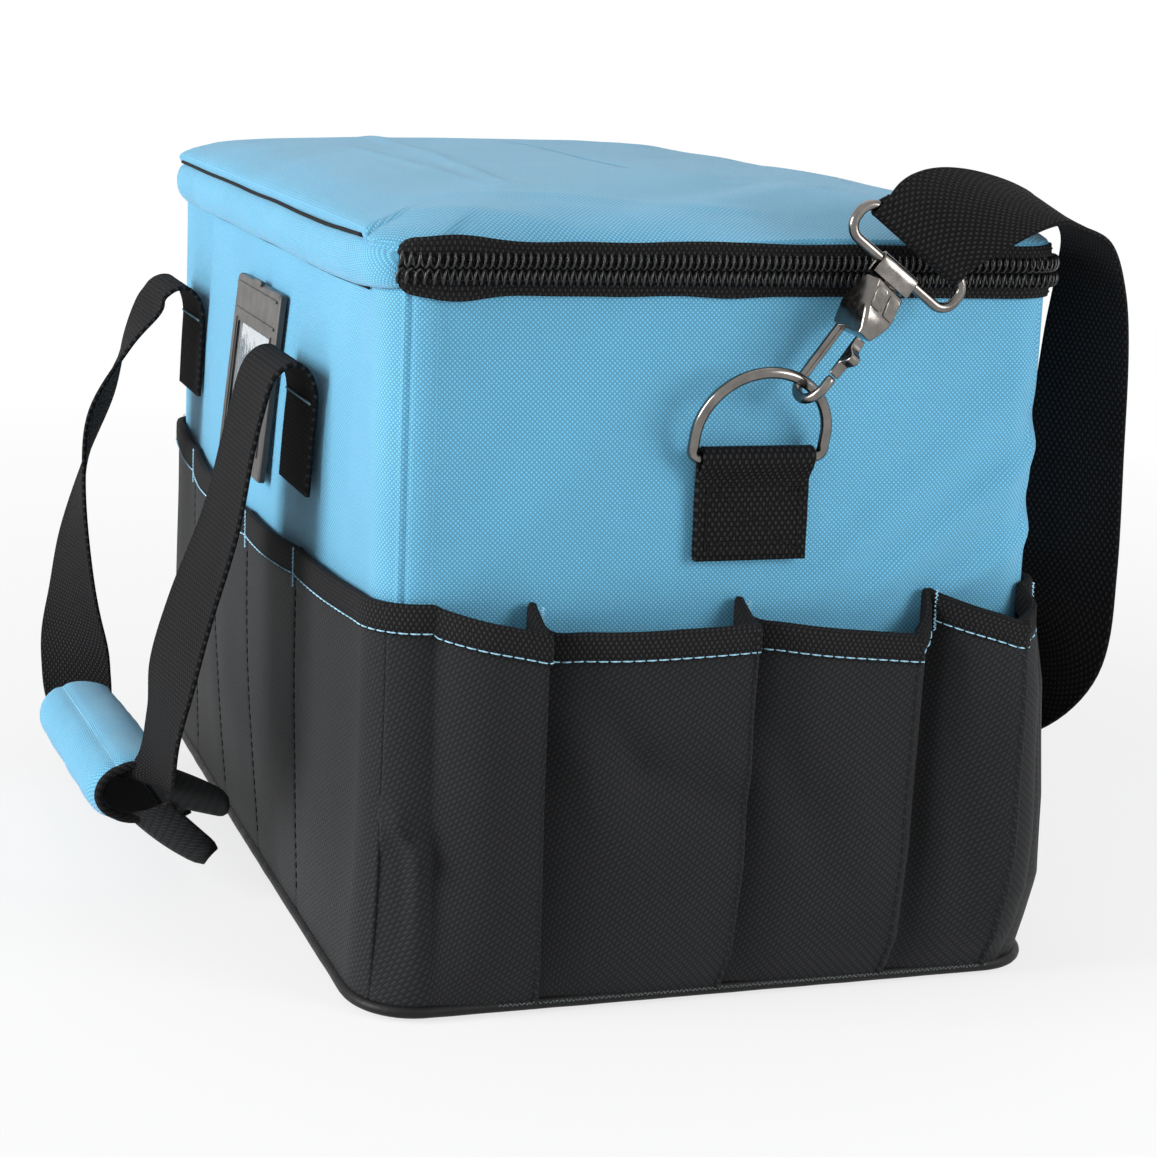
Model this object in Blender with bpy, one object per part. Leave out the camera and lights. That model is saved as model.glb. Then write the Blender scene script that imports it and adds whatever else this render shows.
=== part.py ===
"""Soft-sided tool bag with a zipped lid, outside pockets, two carry handles and a clip-on strap.

X runs across the bag, Y along it, and the near short end faces -Y. The origin is the middle of
the underside. Lengths are in metres.
"""

import math

import bmesh
import bpy
from mathutils import Matrix, Vector

# Driving sizes of the bag
body_width = 0.230
body_length = 0.370
rim_height = 0.2395
bow_height = 0.2280
corner_radius = 0.016
side_bow = 0.010
end_bow = 0.003
side_flare = 0.003
end_flare = 0.009
flare_height = 0.120
fit_gap = 0.0003

# Fabric, stiffeners and lining
shell_thickness = 0.0012
wall_board_thickness = 0.003
lining_thickness = 0.0008
base_panel_thickness = 0.0015
base_board_thickness = 0.004
base_edge_inset = 0.003
rim_binding_height = 0.0012
piping_radius = 0.002
piping_lift = 0.0032

# Outside pockets and their edge binding
pocket_top = 0.135
pocket_bottom = 0.0062
pocket_fabric = 0.0012
pocket_seat = 0.0028
pleat_depth = 0.012
pleat_sag = 0.0075
flat_pocket_gape = 0.0025
binding_height = 0.009
binding_tape = 0.0008
end_pocket_seams = (-0.066, 0.004, 0.072, 0.1085)
side_pocket_seams = (-0.0975, -0.0325, 0.0325, 0.0975)

# Lid
lid_skirt = 0.0095
lid_crown = 0.0145
lid_fabric = 0.0015
lid_board_thickness = 0.003
lid_open_pivot_out = 0.0012
gusset_puff = 0.0062
gusset_height = 0.0165
gusset_seam = 0.0075

# Zipper
tape_thickness = 0.0008
tape_height = 0.0082
coil_width = 0.003
coil_height = 0.0047
coil_split = 0.0006
slider_length = 0.022
slider_plate = 0.0013
pull_length = 0.034
pull_width = 0.009
pull_thickness = 0.0016
pull_pin_radius = 0.0009

# D-rings and their webbing tabs
ring_wire_radius = 0.0019
ring_arc_radius = 0.0224
ring_leg = 0.0075
ring_corner = 0.0029
ring_lean = math.radians(17)
ring_tab_centre = 0.006
ring_bar_height = 0.182
ring_tab_width = 0.039
ring_tab_bottom = 0.148
ring_webbing = 0.0015

# Swivel snap hooks
near_hook_angle = math.radians(53)
far_hook_angle = math.radians(36)
near_hook_offset = 0.0010
far_hook_offset = 0.0016
hook_twist = math.radians(10)
bow_wire_radius = 0.0017
bow_inner_gap = 0.0052
bow_seat_gap = 0.0012
housing_start = 0.0215
housing_length = 0.0180
# The housing's half depth, the gate's way, and its half width, at shares of its length
housing_sections = ((0.0, 0.0090, 0.0032), (0.45, 0.0080, 0.0062), (1.0, 0.0036, 0.0070))
barrel_radius = 0.0042
barrel_length = 0.004
gate_thickness = 0.0022
gate_width = 0.0042
gate_tab_length = 0.008
gate_tab_proud = 0.004
strap_loop_half = 0.0225
strap_loop_depth = 0.0120
strap_loop_corner = 0.004

# Shoulder strap and its length adjuster
strap_width = 0.038
strap_thickness = 0.0015
strap_tail_share = 2.9
near_strap_lean = math.radians(30)
far_strap_lean = math.radians(60)
adjuster_half_height = 0.0245
adjuster_half_length = 0.0185
adjuster_bar = 0.004
adjuster_thickness = 0.002
strap_hang_gap = 0.00315
# The strap's route from each hook to the right side's middle: shares of the body's half width, of
# the strap's reach beyond it, of the body's half length and of its height
near_strap_shares = (
    (0.604, 0.00, -1.132, 1.086),
    (0.711, 0.00, -1.090, 1.092),
    (0.833, 0.00, -1.044, 1.094),
    (0.980, 0.00, -0.981, 1.080),
    (1.000, 0.52, -0.936, 1.045),
    (1.000, 0.74, -0.910, 0.980),
    (1.000, 0.82, -0.893, 0.890),
    (1.000, 0.90, -0.870, 0.747),
    (1.000, 0.98, -0.859, 0.560),
    (1.000, 1.00, -0.827, 0.430),
    (1.000, 1.00, -0.638, 0.330),
    (1.000, 1.00, -0.324, 0.286),
)
near_strap_ways = (
    (0.25, -0.76, -0.60),
    (0.10, -0.88, -0.47),
    (0.02, -0.95, -0.31),
    (-0.10, -0.98, -0.15),
    (-0.05, -1.00, -0.03),
    (0.15, -0.99, 0.00),
    (0.35, -0.94, 0.00),
    (0.50, -0.86, 0.00),
    (0.55, -0.83, 0.00),
    (0.50, -0.68, -0.54),
    (0.10, -0.36, -0.93),
    (0.00, 0.00, -1.00),
)
far_strap_shares = (
    (0.675, 0.00, 1.160, 0.989),
    (0.734, 0.00, 1.214, 0.977),
    (0.832, 0.00, 1.246, 0.959),
    (0.945, 0.00, 1.246, 0.936),
    (1.000, 0.20, 1.214, 0.913),
    (1.000, 0.51, 1.161, 0.887),
)
far_strap_ways = (
    (0.59, -0.08, -0.80),
    (0.22, -0.40, -0.88),
    (-0.33, -0.15, -0.93),
    (-0.40, 0.05, -0.91),
    (-0.36, 0.22, -0.90),
    (-0.24, 0.38, -0.88),
)
# The length adjuster's middle and the ways that the strap runs and lies in it, between those
# knots and the ones that lead down along the right side
adjuster_shares = (1.000, 0.804, 1.003, 0.803)
adjuster_run_way = (0.12, -0.80, -0.58)
adjuster_width_way = (-0.05, 0.57, -0.82)
side_strap_shares = (
    (1.000, 0.97, 0.859, 0.721),
    (1.000, 1.00, 0.800, 0.660),
    (1.000, 1.00, 0.700, 0.540),
    (1.000, 1.00, 0.584, 0.419),
    (1.000, 1.00, 0.432, 0.328),
    (1.000, 1.00, 0.230, 0.290),
)
side_strap_ways = (
    (0.00, 0.63, -0.78),
    (0.00, 0.66, -0.75),
    (0.00, 0.70, -0.71),
    (0.00, 0.62, -0.78),
    (0.00, 0.30, -0.95),
    (0.00, 0.00, -1.00),
)

# Carry handles
handle_width = 0.050
handle_thickness = 0.0016
handle_near = -0.090
handle_far = 0.130
handle_anchor_bottom = 0.152
handle_crest = 0.2005
left_pivot_rise = 0.0080
right_pivot_rise = 0.0050
pivot_gap = 0.0013
left_hang_reach = 0.057
handle_hang_gap = 0.0026
handle_hang_height = 0.0385
handle_folded_width = 0.024

# Padded grip wrap on the left handle
grip_length = 0.130
grip_half_width = 0.0170
grip_half_height = 0.0130
grip_padding = 0.004
flap_thickness = 0.003
flap_open = math.radians(38)
tape_strip_width = 0.010
tape_strip_thickness = 0.0008

# Label holder on the left side
label_width = 0.076
label_height = 0.068
label_bottom = 0.1485
label_centre = -0.012
label_border = 0.008
label_header = 0.016
label_thickness = 0.0026
label_window_thickness = 0.0006

# How finely curved things are divided
corner_steps = 4
side_steps = 6
arc_steps = 8

straight_x = body_width / 2 - corner_radius
straight_y = body_length / 2 - corner_radius
corner_arc = corner_radius * math.pi / 2
outline_length = 4 * (straight_x + straight_y + corner_arc)
body_top = rim_height + fit_gap + rim_binding_height

# How far the handles and the strap reach past the body's width, over its bow and pockets
side_stack = side_bow + pocket_seat + flat_pocket_gape + fit_gap + binding_tape
left_pivot_reach = side_bow + left_pivot_rise
right_pivot_reach = side_bow + right_pivot_rise
right_hang_reach = side_stack + handle_hang_gap + handle_thickness / 2
strap_side_reach = right_hang_reach + (handle_thickness + strap_thickness) / 2 + strap_hang_gap


def clear_scene():
    for item in list(bpy.data.objects):
        bpy.data.objects.remove(item, do_unlink=True)


def new_collection(name):
    group = bpy.data.collections.new(name)
    bpy.context.scene.collection.children.link(group)
    return group


def material(name, colour, roughness, metallic=0.0):
    made = bpy.data.materials.get(name) or bpy.data.materials.new(name)
    made.use_nodes = True
    made.diffuse_color = (*colour, 1.0)
    shader = made.node_tree.nodes["Principled BSDF"]
    shader.inputs["Base Color"].default_value = (*colour, 1.0)
    shader.inputs["Roughness"].default_value = roughness
    shader.inputs["Metallic"].default_value = metallic
    return made


def add_part(name, mesh, finish):
    part = bpy.data.objects.new(name, mesh)
    part.data.materials.append(finish)
    bag_parts.objects.link(part)
    return part


def shade(mesh, angle=math.radians(35)):
    mesh.shade_smooth()
    mesh.set_sharp_from_angle(angle=angle)


def add_quad(shape, corners):
    """A face between four corners; a twisted one is two triangles, split on its outer diagonal."""
    a, b, c, d = corners
    across = (c.co - a.co).cross(d.co - b.co)
    if across.length and abs(across.normalized().dot(b.co - a.co)) < fit_gap / 100:
        shape.faces.new(corners)
        return
    if (a.co + c.co).xy.length > (b.co + d.co).xy.length:
        shape.faces.new((a, b, c))
        shape.faces.new((a, c, d))
    else:
        shape.faces.new((a, b, d))
        shape.faces.new((b, c, d))


def skin(name, rings, finish, closed=False):
    """A closed body lofted through rings of points; closed joins the last ring to the first."""
    shape = bmesh.new()
    rows = [[shape.verts.new(point) for point in ring] for ring in rings]
    pairs = list(zip(rows, rows[1:]))
    if closed:
        pairs.append((rows[-1], rows[0]))
    for first, second in pairs:
        for i in range(len(first)):
            j = (i + 1) % len(first)
            add_quad(shape, (first[i], first[j], second[j], second[i]))
    if not closed:
        shape.faces.new(rows[0])
        shape.faces.new(rows[-1])
    bmesh.ops.recalc_face_normals(shape, faces=shape.faces)
    mesh = bpy.data.meshes.new(name)
    shape.to_mesh(mesh)
    shape.free()
    shade(mesh)
    return add_part(name, mesh, finish)


def wire(name, points, radius, finish, cyclic=False, resolution=2):
    """A round wire along points, as a curve with filled ends."""
    line = bpy.data.curves.new(name, "CURVE")
    line.dimensions = "3D"
    line.bevel_depth = radius
    line.bevel_resolution = resolution
    line.use_fill_caps = True
    spline = line.splines.new("POLY")
    spline.points.add(len(points) - 1)
    for spot, point in zip(spline.points, points):
        spot.co = (*point, 1.0)
    spline.use_cyclic_u = cyclic
    return add_part(name, line, finish)


def plate(name, outlines, thickness, frame, finish):
    """A flat plate: closed outlines (the first outside, the rest holes) filled and extruded."""
    shape = bmesh.new()
    edges = []
    for outline in outlines:
        row = [shape.verts.new((x, y, -thickness / 2)) for x, y in outline]
        edges += [shape.edges.new((a, b)) for a, b in zip(row, row[1:] + row[:1])]
    bmesh.ops.triangle_fill(shape, use_beauty=True, edges=edges)
    raised = bmesh.ops.extrude_face_region(shape, geom=shape.faces[:])
    moved = [item for item in raised["geom"] if isinstance(item, bmesh.types.BMVert)]
    bmesh.ops.translate(shape, verts=moved, vec=(0, 0, thickness))
    bmesh.ops.recalc_face_normals(shape, faces=shape.faces)
    mesh = bpy.data.meshes.new(name)
    shape.to_mesh(mesh)
    shape.free()
    shade(mesh)
    part = add_part(name, mesh, finish)
    part.matrix_world = frame
    return part


def frame_of(origin, x_way, y_way):
    """A placing matrix with its origin, its local X and its local Y."""
    x_way = Vector(x_way).normalized()
    y_way = Vector(y_way).normalized()
    z_way = x_way.cross(y_way)
    turn = Matrix((x_way, y_way, z_way)).transposed().to_4x4()
    return Matrix.Translation(origin) @ turn


def pivot(name, place):
    """An empty on a joint's axis, for the pieces that turn or slide with it."""
    spot = bpy.data.objects.new(name, None)
    spot.location = place
    spot.empty_display_size = corner_radius
    bag_parts.objects.link(spot)
    return spot


def carry(spot, *parts):
    """Parents parts to a pivot and leaves them where they are."""
    for part in parts:
        part.parent = spot
        part.matrix_parent_inverse = Matrix.Translation(-spot.location)


def arc(centre, radius, start, end, steps):
    """Points on a flat arc, from one angle to another."""
    turns = [start + (end - start) * i / steps for i in range(steps + 1)]
    return [(centre[0] + radius * math.cos(a), centre[1] + radius * math.sin(a)) for a in turns]


# The bag's plan outline. A distance s runs round it, anticlockwise from above, from the middle
# of the near end. Each side bows outward a little.
def outline_frame(s):
    """The outline's point, its outward way and its bow at distance s."""
    s = (s + straight_x) % outline_length
    for turn in range(4):
        along, away = ((straight_x, straight_y), (straight_y, straight_x))[turn % 2]
        bow = (end_bow, side_bow)[turn % 2]
        spin = Matrix.Rotation(turn * math.pi / 2, 3, "Z")
        if s <= 2 * along:
            share = s / along - 1
            point = Vector((share * along, -away - corner_radius, 0))
            return spin @ point, spin @ Vector((0, -1, 0)), bow * (1 - share**2) ** 2
        s -= 2 * along
        if s <= corner_arc or turn == 3:
            angle = s / corner_radius
            way = Vector((math.sin(angle), -math.cos(angle), 0))
            point = Vector((along, -away, 0)) + way * corner_radius
            return spin @ point, spin @ way, 0.0
        s -= corner_arc


def swell(z):
    """How much of a side's bow is there at height z: none at the base and near the rim."""
    return math.sin(math.pi * min(max(z / bow_height, 0.0), 1.0))


def flare(way, z):
    """How far the body stands out at height z towards its base, more at the ends."""
    rise = 1 - min(max(z / flare_height, 0.0), 1.0)
    return (side_flare * way.x**2 + end_flare * way.y**2) * rise**2


def body_point(s, out, z):
    """The point at distance s round the body, out from its fabric face, at height z."""
    point, way, bow = outline_frame(s)
    point = point + way * (out + bow * swell(z) + flare(way, z))
    return Vector((point.x, point.y, z))


def near(x):
    return x


def right(y):
    return straight_x + corner_arc + straight_y + y


def far(x):
    return 2 * (straight_x + corner_arc + straight_y) - x


def left(y):
    return 3 * straight_x + 3 * corner_arc + 3 * straight_y - y


def stations(start, end):
    """Distances from start to end round the body, close together at the corners."""
    marks = []
    base = -straight_x - outline_length
    for turn in range(12):
        along = (straight_x, straight_y)[turn % 2]
        marks += [base + 2 * along * i / side_steps for i in range(side_steps)]
        base += 2 * along
        marks += [base + corner_arc * i / corner_steps for i in range(corner_steps)]
        base += corner_arc
    inside = [m for m in marks if start + corner_arc / 9 < m < end - corner_arc / 9]
    return [start, *inside, end]


def all_round():
    """Distances once round the body, without the repeated last one."""
    return stations(-straight_x, outline_length - straight_x)[:-1]


def band(name, start, end, section, finish):
    """A strip along the body from start to end, with (out, z) points as its section."""
    if end is None:
        return skin(name, [[body_point(s, *p) for p in section] for s in all_round()], finish, True)
    return skin(name, [[body_point(s, *p) for p in section] for s in stations(start, end)], finish)


wall_low = base_panel_thickness + base_board_thickness + 2 * fit_gap
wall_levels = [wall_low + (bow_height - wall_low) * i / side_steps for i in range(side_steps + 1)]
wall_levels.append(rim_height)


def wall_section(outer, inner, heights):
    """A wall's section: up its outer face and down its inner face."""
    return [(outer, z) for z in heights] + [(inner, z) for z in reversed(heights)]


# Base and walls
def make_base():
    def loop(out, z):
        return [body_point(s, out, z) for s in all_round()]

    skin("base_panel", [loop(-base_edge_inset, 0), loop(-fit_gap, base_panel_thickness)], webbing_black)
    low = base_panel_thickness + fit_gap
    inset = -shell_thickness - fit_gap
    skin("base_board", [loop(inset, low), loop(inset, low + base_board_thickness)], board_grey)
    ring = arc((fit_gap * 2 + piping_radius, piping_lift), piping_radius, 0, 2 * math.pi, 8)[:-1]
    band("base_piping", 0, None, ring, piping_black)


def make_walls():
    low = base_panel_thickness + fit_gap
    section = wall_section(0, -shell_thickness, [low, *wall_levels])
    band("body_shell", 0, None, section, canvas_blue)
    outer = -shell_thickness - fit_gap
    inner = outer - wall_board_thickness
    section = wall_section(outer, inner, wall_levels)
    for name, middle, half in (
        ("near_end_board", near(0), straight_x),
        ("right_board", right(0), straight_y),
        ("far_end_board", far(0), straight_x),
        ("left_board", left(0), straight_y),
    ):
        band(name, middle - half, middle + half, section, board_grey)


def make_lining():
    outer = -shell_thickness - wall_board_thickness - 2 * fit_gap
    inner = outer - lining_thickness

    def loops(out, heights):
        return [[body_point(s, out, z) for s in all_round()] for z in heights]

    floor = wall_low + lining_thickness
    down = loops(inner, [floor, *wall_levels[1:]])[::-1]
    skin("lining", loops(outer, wall_levels) + down, lining_grey)
    top = rim_height + fit_gap
    section = wall_section(0, inner, [top, top + rim_binding_height])
    band("rim_binding", 0, None, section, webbing_black)


# Outside pockets
pleat_rise_shares = ((0.0, 0.12), (0.10, 0.50), (0.35, 0.80), (0.66, 0.92))
pleat_shares = ((0.07, 0.10), (0.22, 0.55), (0.45, 0.90), (0.78, 1.0))
# How far each seam leans towards the base, and where its folded edge stands beside it there and
# at the top, as shares of the pleats' depth
pleat_edge_shares = (
    (0.42, -0.10, 0.17),
    (-0.25, -0.10, 0.17),
    (-1.00, -0.13, -0.58),
    (-0.50, -0.40, -0.60),
)


def panel_ends(straight):
    """Distances from a panel's end, at the middle of a corner, to where the side is straight."""
    end = straight + corner_arc / 2 - fit_gap
    return [end, straight + corner_arc / 4, straight]


def pleated_path(rise):
    """(s, out, sag) points of the end pockets' front, for a share of their full depth."""
    depth = pleat_depth * rise
    path = [(-s, pocket_seat, 0.0) for s in panel_ends(straight_x)]
    start = -straight_x
    for top_seam, (lean, low_edge, high_edge) in zip(end_pocket_seams, pleat_edge_shares):
        seam = top_seam + pleat_depth * lean * (1 - rise)
        edge = seam + pleat_depth * (low_edge + (high_edge - low_edge) * rise)
        for along, out in pleat_shares:
            path.append((start + (edge - start) * along, pocket_seat + depth * out, out))
        path.append((edge, pocket_seat + depth, 1.0))
        path.append((seam + (edge - seam) * 0.3, pocket_seat + depth * 0.45, 0.6))
        path.append((seam, pocket_seat, 0.0))
        start = seam
    path.append((panel_ends(straight_x)[0], pocket_seat, 0.0))
    return path


def flat_path(rise):
    """(s, out, sag) points of a side's pockets, from 0 at its middle: a little open at the top."""
    ends = panel_ends(straight_y)
    seams = [-straight_y, *side_pocket_seams, straight_y]
    path = [(-s, pocket_seat, 0.0) for s in ends[:-1]]
    for start, stop in zip(seams, seams[1:]):
        path.append((start, pocket_seat, 0.0))
        for along in (0.25, 0.5, 0.75):
            gape = math.sin(math.pi * along)
            out = pocket_seat + flat_pocket_gape * rise * gape
            path.append((start + (stop - start) * along, out, gape / 2))
    path += [(s, pocket_seat, 0.0) for s in reversed(ends)]
    return path


def spread(path, middle, height_of):
    """World points along a pocket's path, each with its outward way; sag sets its height."""
    points = [body_point(middle + s, out, height_of(sag)) for s, out, sag in path]
    ways = []
    for i in range(len(points)):
        before = points[max(i - 1, 0)]
        after = points[min(i + 1, len(points) - 1)]
        first = (points[i] - before).xy.normalized()
        second = (after - points[i]).xy.normalized()
        along = (first + second).normalized()
        ways.append(Vector((along.y, -along.x, 0)))
    ways[0] = outline_frame(middle + path[0][0])[1]
    ways[-1] = outline_frame(middle + path[-1][0])[1]
    return list(zip(points, ways))


def make_pockets(side, middle, path_of):
    """One side's row of pockets, and the binding over its top edge."""

    def top(sag):
        return pocket_top - pleat_sag * sag

    def foot_height(sag):
        return top(sag) - binding_height

    def head_height(sag):
        return top(sag) + fit_gap

    rows = []
    for share, rise in pleat_rise_shares:
        rows.append(
            spread(path_of(rise), middle, lambda sag: pocket_bottom + (top(sag) - pocket_bottom) * share)
        )
    foot = spread(path_of(1.0), middle, foot_height)
    head = spread(path_of(1.0), middle, head_height)
    rows += [foot, spread(path_of(1.0), middle, top)]
    rings = []
    for i in range(len(rows[0])):
        outside = [row[i][0] for row in rows]
        inside = [row[i][0] - row[i][1] * pocket_fabric for row in rows]
        rings.append(outside + inside[::-1])
    skin(f"{side}_pockets", rings, pocket_black)

    outer = fit_gap + binding_tape
    inner = -pocket_fabric - fit_gap
    cap = Vector((0, 0, binding_tape))
    rings = []
    for (foot_point, foot_way), (head_point, head_way) in zip(foot, head):
        rings.append(
            [
                foot_point + foot_way * outer,
                head_point + head_way * outer + cap,
                head_point + head_way * (inner - binding_tape) + cap,
                foot_point + foot_way * (inner - binding_tape),
                foot_point + foot_way * inner,
                head_point + head_way * inner,
                head_point + head_way * fit_gap,
                foot_point + foot_way * fit_gap,
            ]
        )
    skin(f"{side}_binding", rings, webbing_black)


# Lid, its gusset and the zipper
lid_bottom = body_top + fit_gap
lid_rise_shares = ((0.0, 0.0), (0.12, 0.30), (0.35, 0.66), (0.65, 0.90), (0.90, 1.0))


def lid_loop(inset, z):
    """A loop round the lid at height z, inset from the body's outline by scaling."""
    scale_x = 1 - inset / (body_width / 2)
    scale_y = 1 - inset / (body_length / 2)
    points = [outline_frame(s)[0] for s in all_round()]
    return [Vector((p.x * scale_x, p.y * scale_y, z)) for p in points]


def make_lid():
    half = body_width / 2
    shoulder = lid_bottom + lid_skirt

    def crown(inset, drop):
        return [
            lid_loop(inset + along * (half - 2 * inset), shoulder - drop + lid_crown * rise)
            for along, rise in lid_rise_shares
        ]

    outside = [lid_loop(0, lid_bottom), *crown(0, 0)]
    inside = [lid_loop(lid_fabric, lid_bottom), *crown(lid_fabric, lid_fabric)]
    shell = skin("lid_shell", outside[::-1] + inside, canvas_blue)
    inset = lid_fabric + fit_gap
    low = lid_bottom + lining_thickness + fit_gap
    lining = skin(
        "lid_lining",
        [lid_loop(inset, lid_bottom), lid_loop(inset, lid_bottom + lining_thickness)],
        lining_grey,
    )
    board = skin(
        "lid_board",
        [lid_loop(inset, low), lid_loop(inset, low + lid_board_thickness)],
        board_grey,
    )
    return shell, lining, board


def make_gusset():
    """The folded band of fabric that hinges the lid along the left side."""
    top = lid_bottom + gusset_seam
    middle = top - gusset_height / 2
    section = [(fit_gap, top)]
    for x, y in arc((0, 0), 1, math.pi / 2, -math.pi / 2, arc_steps):
        section.append((fit_gap * 2 + gusset_puff * x, middle + gusset_height / 2 * y))
    section.append((fit_gap, top - gusset_height))
    band("hinge_gusset", left(straight_y), left(-straight_y), section, canvas_blue)


zip_middle = body_top + fit_gap / 2
zip_start = -straight_x - 0.55 * corner_arc
zip_end = far(-straight_x) + 0.55 * corner_arc


def make_zipper():
    coil_out = fit_gap * 2 + tape_thickness
    made = []
    for name, way in (("lower", -1), ("upper", 1)):
        edge = zip_middle + way * coil_split
        tape = [(fit_gap, edge), (fit_gap + tape_thickness, edge)]
        tape += [(out, edge + way * tape_height) for out, _ in reversed(tape)]
        made.append(band(f"{name}_zipper_tape", zip_start, zip_end, tape, webbing_black))
        low, high = zip_middle + way * coil_split / 2, zip_middle + way * (coil_split / 2 + coil_height)
        coil = [
            (coil_out, low),
            (coil_out + coil_width * 0.8, low),
            (coil_out + coil_width, (low + high) / 2),
            (coil_out + coil_width * 0.7, high),
            (coil_out, high),
        ]
        made.append(band(f"{name}_zipper_coil", zip_start, zip_end, coil, coil_black))
    return made


def make_slider(name, y, way):
    """A zipper slider on the right side, a saddle over both coils, and X of its pull's pin."""
    face = body_width / 2 + fit_gap * 2 + tape_thickness
    top = coil_split / 2 + coil_height + fit_gap
    lip = top + slider_plate
    inner = face + coil_width + fit_gap
    outer = inner + slider_plate
    rings = []
    for along, narrow in ((-0.5, 0.86), (-0.3, 1.0), (0.2, 1.0), (0.5, 0.92)):
        step = y + way * slider_length * along
        reach = lip - (1 - narrow) * slider_plate * 2
        rings.append(
            [
                Vector((face + fit_gap, step, zip_middle + reach)),
                Vector((outer - slider_plate / 3, step, zip_middle + reach)),
                Vector((outer, step, zip_middle + reach * 0.8)),
                Vector((outer, step, zip_middle - reach * 0.8)),
                Vector((outer - slider_plate / 3, step, zip_middle - reach)),
                Vector((face + fit_gap, step, zip_middle - reach)),
                Vector((face + fit_gap, step, zip_middle - top)),
                Vector((inner, step, zip_middle - top)),
                Vector((inner, step, zip_middle + top)),
                Vector((face + fit_gap, step, zip_middle + top)),
            ]
        )
    body = skin(f"{name}_slider", rings, slider_black)
    return body, outer + fit_gap + math.hypot(pull_pin_radius, pull_thickness / 2)


def make_sliders():
    """Two sliders that meet in the middle of the right side, with their pulls."""
    for name, way in (("near", -1), ("far", 1)):
        y = way * (slider_length / 2 + fit_gap)
        body, pin_out = make_slider(name, y, way)
        pin = Vector((pin_out, y, zip_middle))
        half = pull_width / 2
        tab = [
            (half, pull_pin_radius),
            (half, -pull_length * 0.75),
            (half * 0.6, -pull_length),
            (-half * 0.6, -pull_length),
            (-half, -pull_length * 0.75),
            (-half, pull_pin_radius),
        ]
        hole = arc((0, -pull_length * 0.78), half * 0.45, 0, 2 * math.pi, arc_steps)[:-1]
        frame = frame_of(pin, (0, 1, 0), (0, 0, 1))
        tab_part = plate(f"{name}_slider_pull", [tab, hole], pull_thickness, frame, slider_black)
        track = pivot(f"{name}_slider_track", Vector((body_width / 2, y, zip_middle)))
        carry(track, body)
        carry(pivot(f"{name}_pull_pin", pin), tab_part)


# D-rings in their sewn webbing tabs
def end_face(way):
    """Y of an end's face, with its bow."""
    return way * (body_length / 2 + end_bow)


ring_tab_loop = ring_wire_radius + fit_gap + ring_webbing
ring_bar_out = fit_gap + ring_tab_loop


def ring_point(angle, way, extra=0.0):
    """A point on a leaning ring's arc; angle 0 is at +X."""
    rise = ring_leg + (ring_arc_radius + extra) * math.sin(angle)
    return Vector(
        (
            ring_tab_centre + (ring_arc_radius + extra) * math.cos(angle),
            end_face(way) + way * (ring_bar_out + rise * math.sin(ring_lean)),
            ring_bar_height + rise * math.cos(ring_lean),
        )
    )


def make_ring(name, way):
    bar = Vector((ring_tab_centre, end_face(way) + way * ring_bar_out, ring_bar_height))
    loop = ring_tab_loop
    slab = 2 * ring_webbing
    outline = [(-loop, ring_tab_bottom - ring_bar_height)]
    outline += arc((0, 0), loop, math.pi, -math.pi / 4, 2 * arc_steps)
    outline += [(slab - loop, -loop * 1.6), (slab - loop, ring_tab_bottom - ring_bar_height)]
    hole = arc((0, 0), ring_wire_radius + fit_gap, 0, 2 * math.pi, 2 * arc_steps)[:-1]
    frame = frame_of(bar, (0, way, 0), (0, 0, 1))
    plate(f"{name}_ring_tab", [outline, hole], ring_tab_width, frame, webbing_black)

    side = ring_arc_radius
    flat = arc((side - ring_corner, ring_corner), ring_corner, -math.pi / 2, 0, 3)
    flat += arc((0, ring_leg), side, 0, math.pi, 2 * arc_steps)
    flat += arc((-side + ring_corner, ring_corner), ring_corner, math.pi, 1.5 * math.pi, 3)
    up = Vector((0, way * math.sin(ring_lean), math.cos(ring_lean)))
    points = [Vector((x, 0, 0)) + up * z for x, z in flat]
    ring = wire(f"{name}_d_ring", points, ring_wire_radius, nickel, cyclic=True)
    ring.location = bar


# Swivel snap hooks
def hook_axes(way):
    """A hook's middle at its ring's wire, its long way, its gate's way and its flat way."""
    angle = near_hook_angle if way < 0 else far_hook_angle
    offset = near_hook_offset if way < 0 else far_hook_offset
    seat = ring_point(angle, way) + Vector((0, way * offset, 0))
    out = Vector((math.cos(angle), 0, math.sin(angle)))
    across = Vector((math.sin(angle), 0, -math.cos(angle)))
    gate = Vector((0, way, 0)) * math.cos(hook_twist) + across * math.sin(hook_twist)
    return seat, out, gate, across


bow_radius = bow_inner_gap + bow_wire_radius
bow_centre = bow_inner_gap - ring_wire_radius - bow_seat_gap
housing_end = housing_start + housing_length
swivel_end = housing_end + barrel_length
loop_start = swivel_end + fit_gap + bow_wire_radius
loop_end = loop_start + strap_loop_depth


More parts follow.
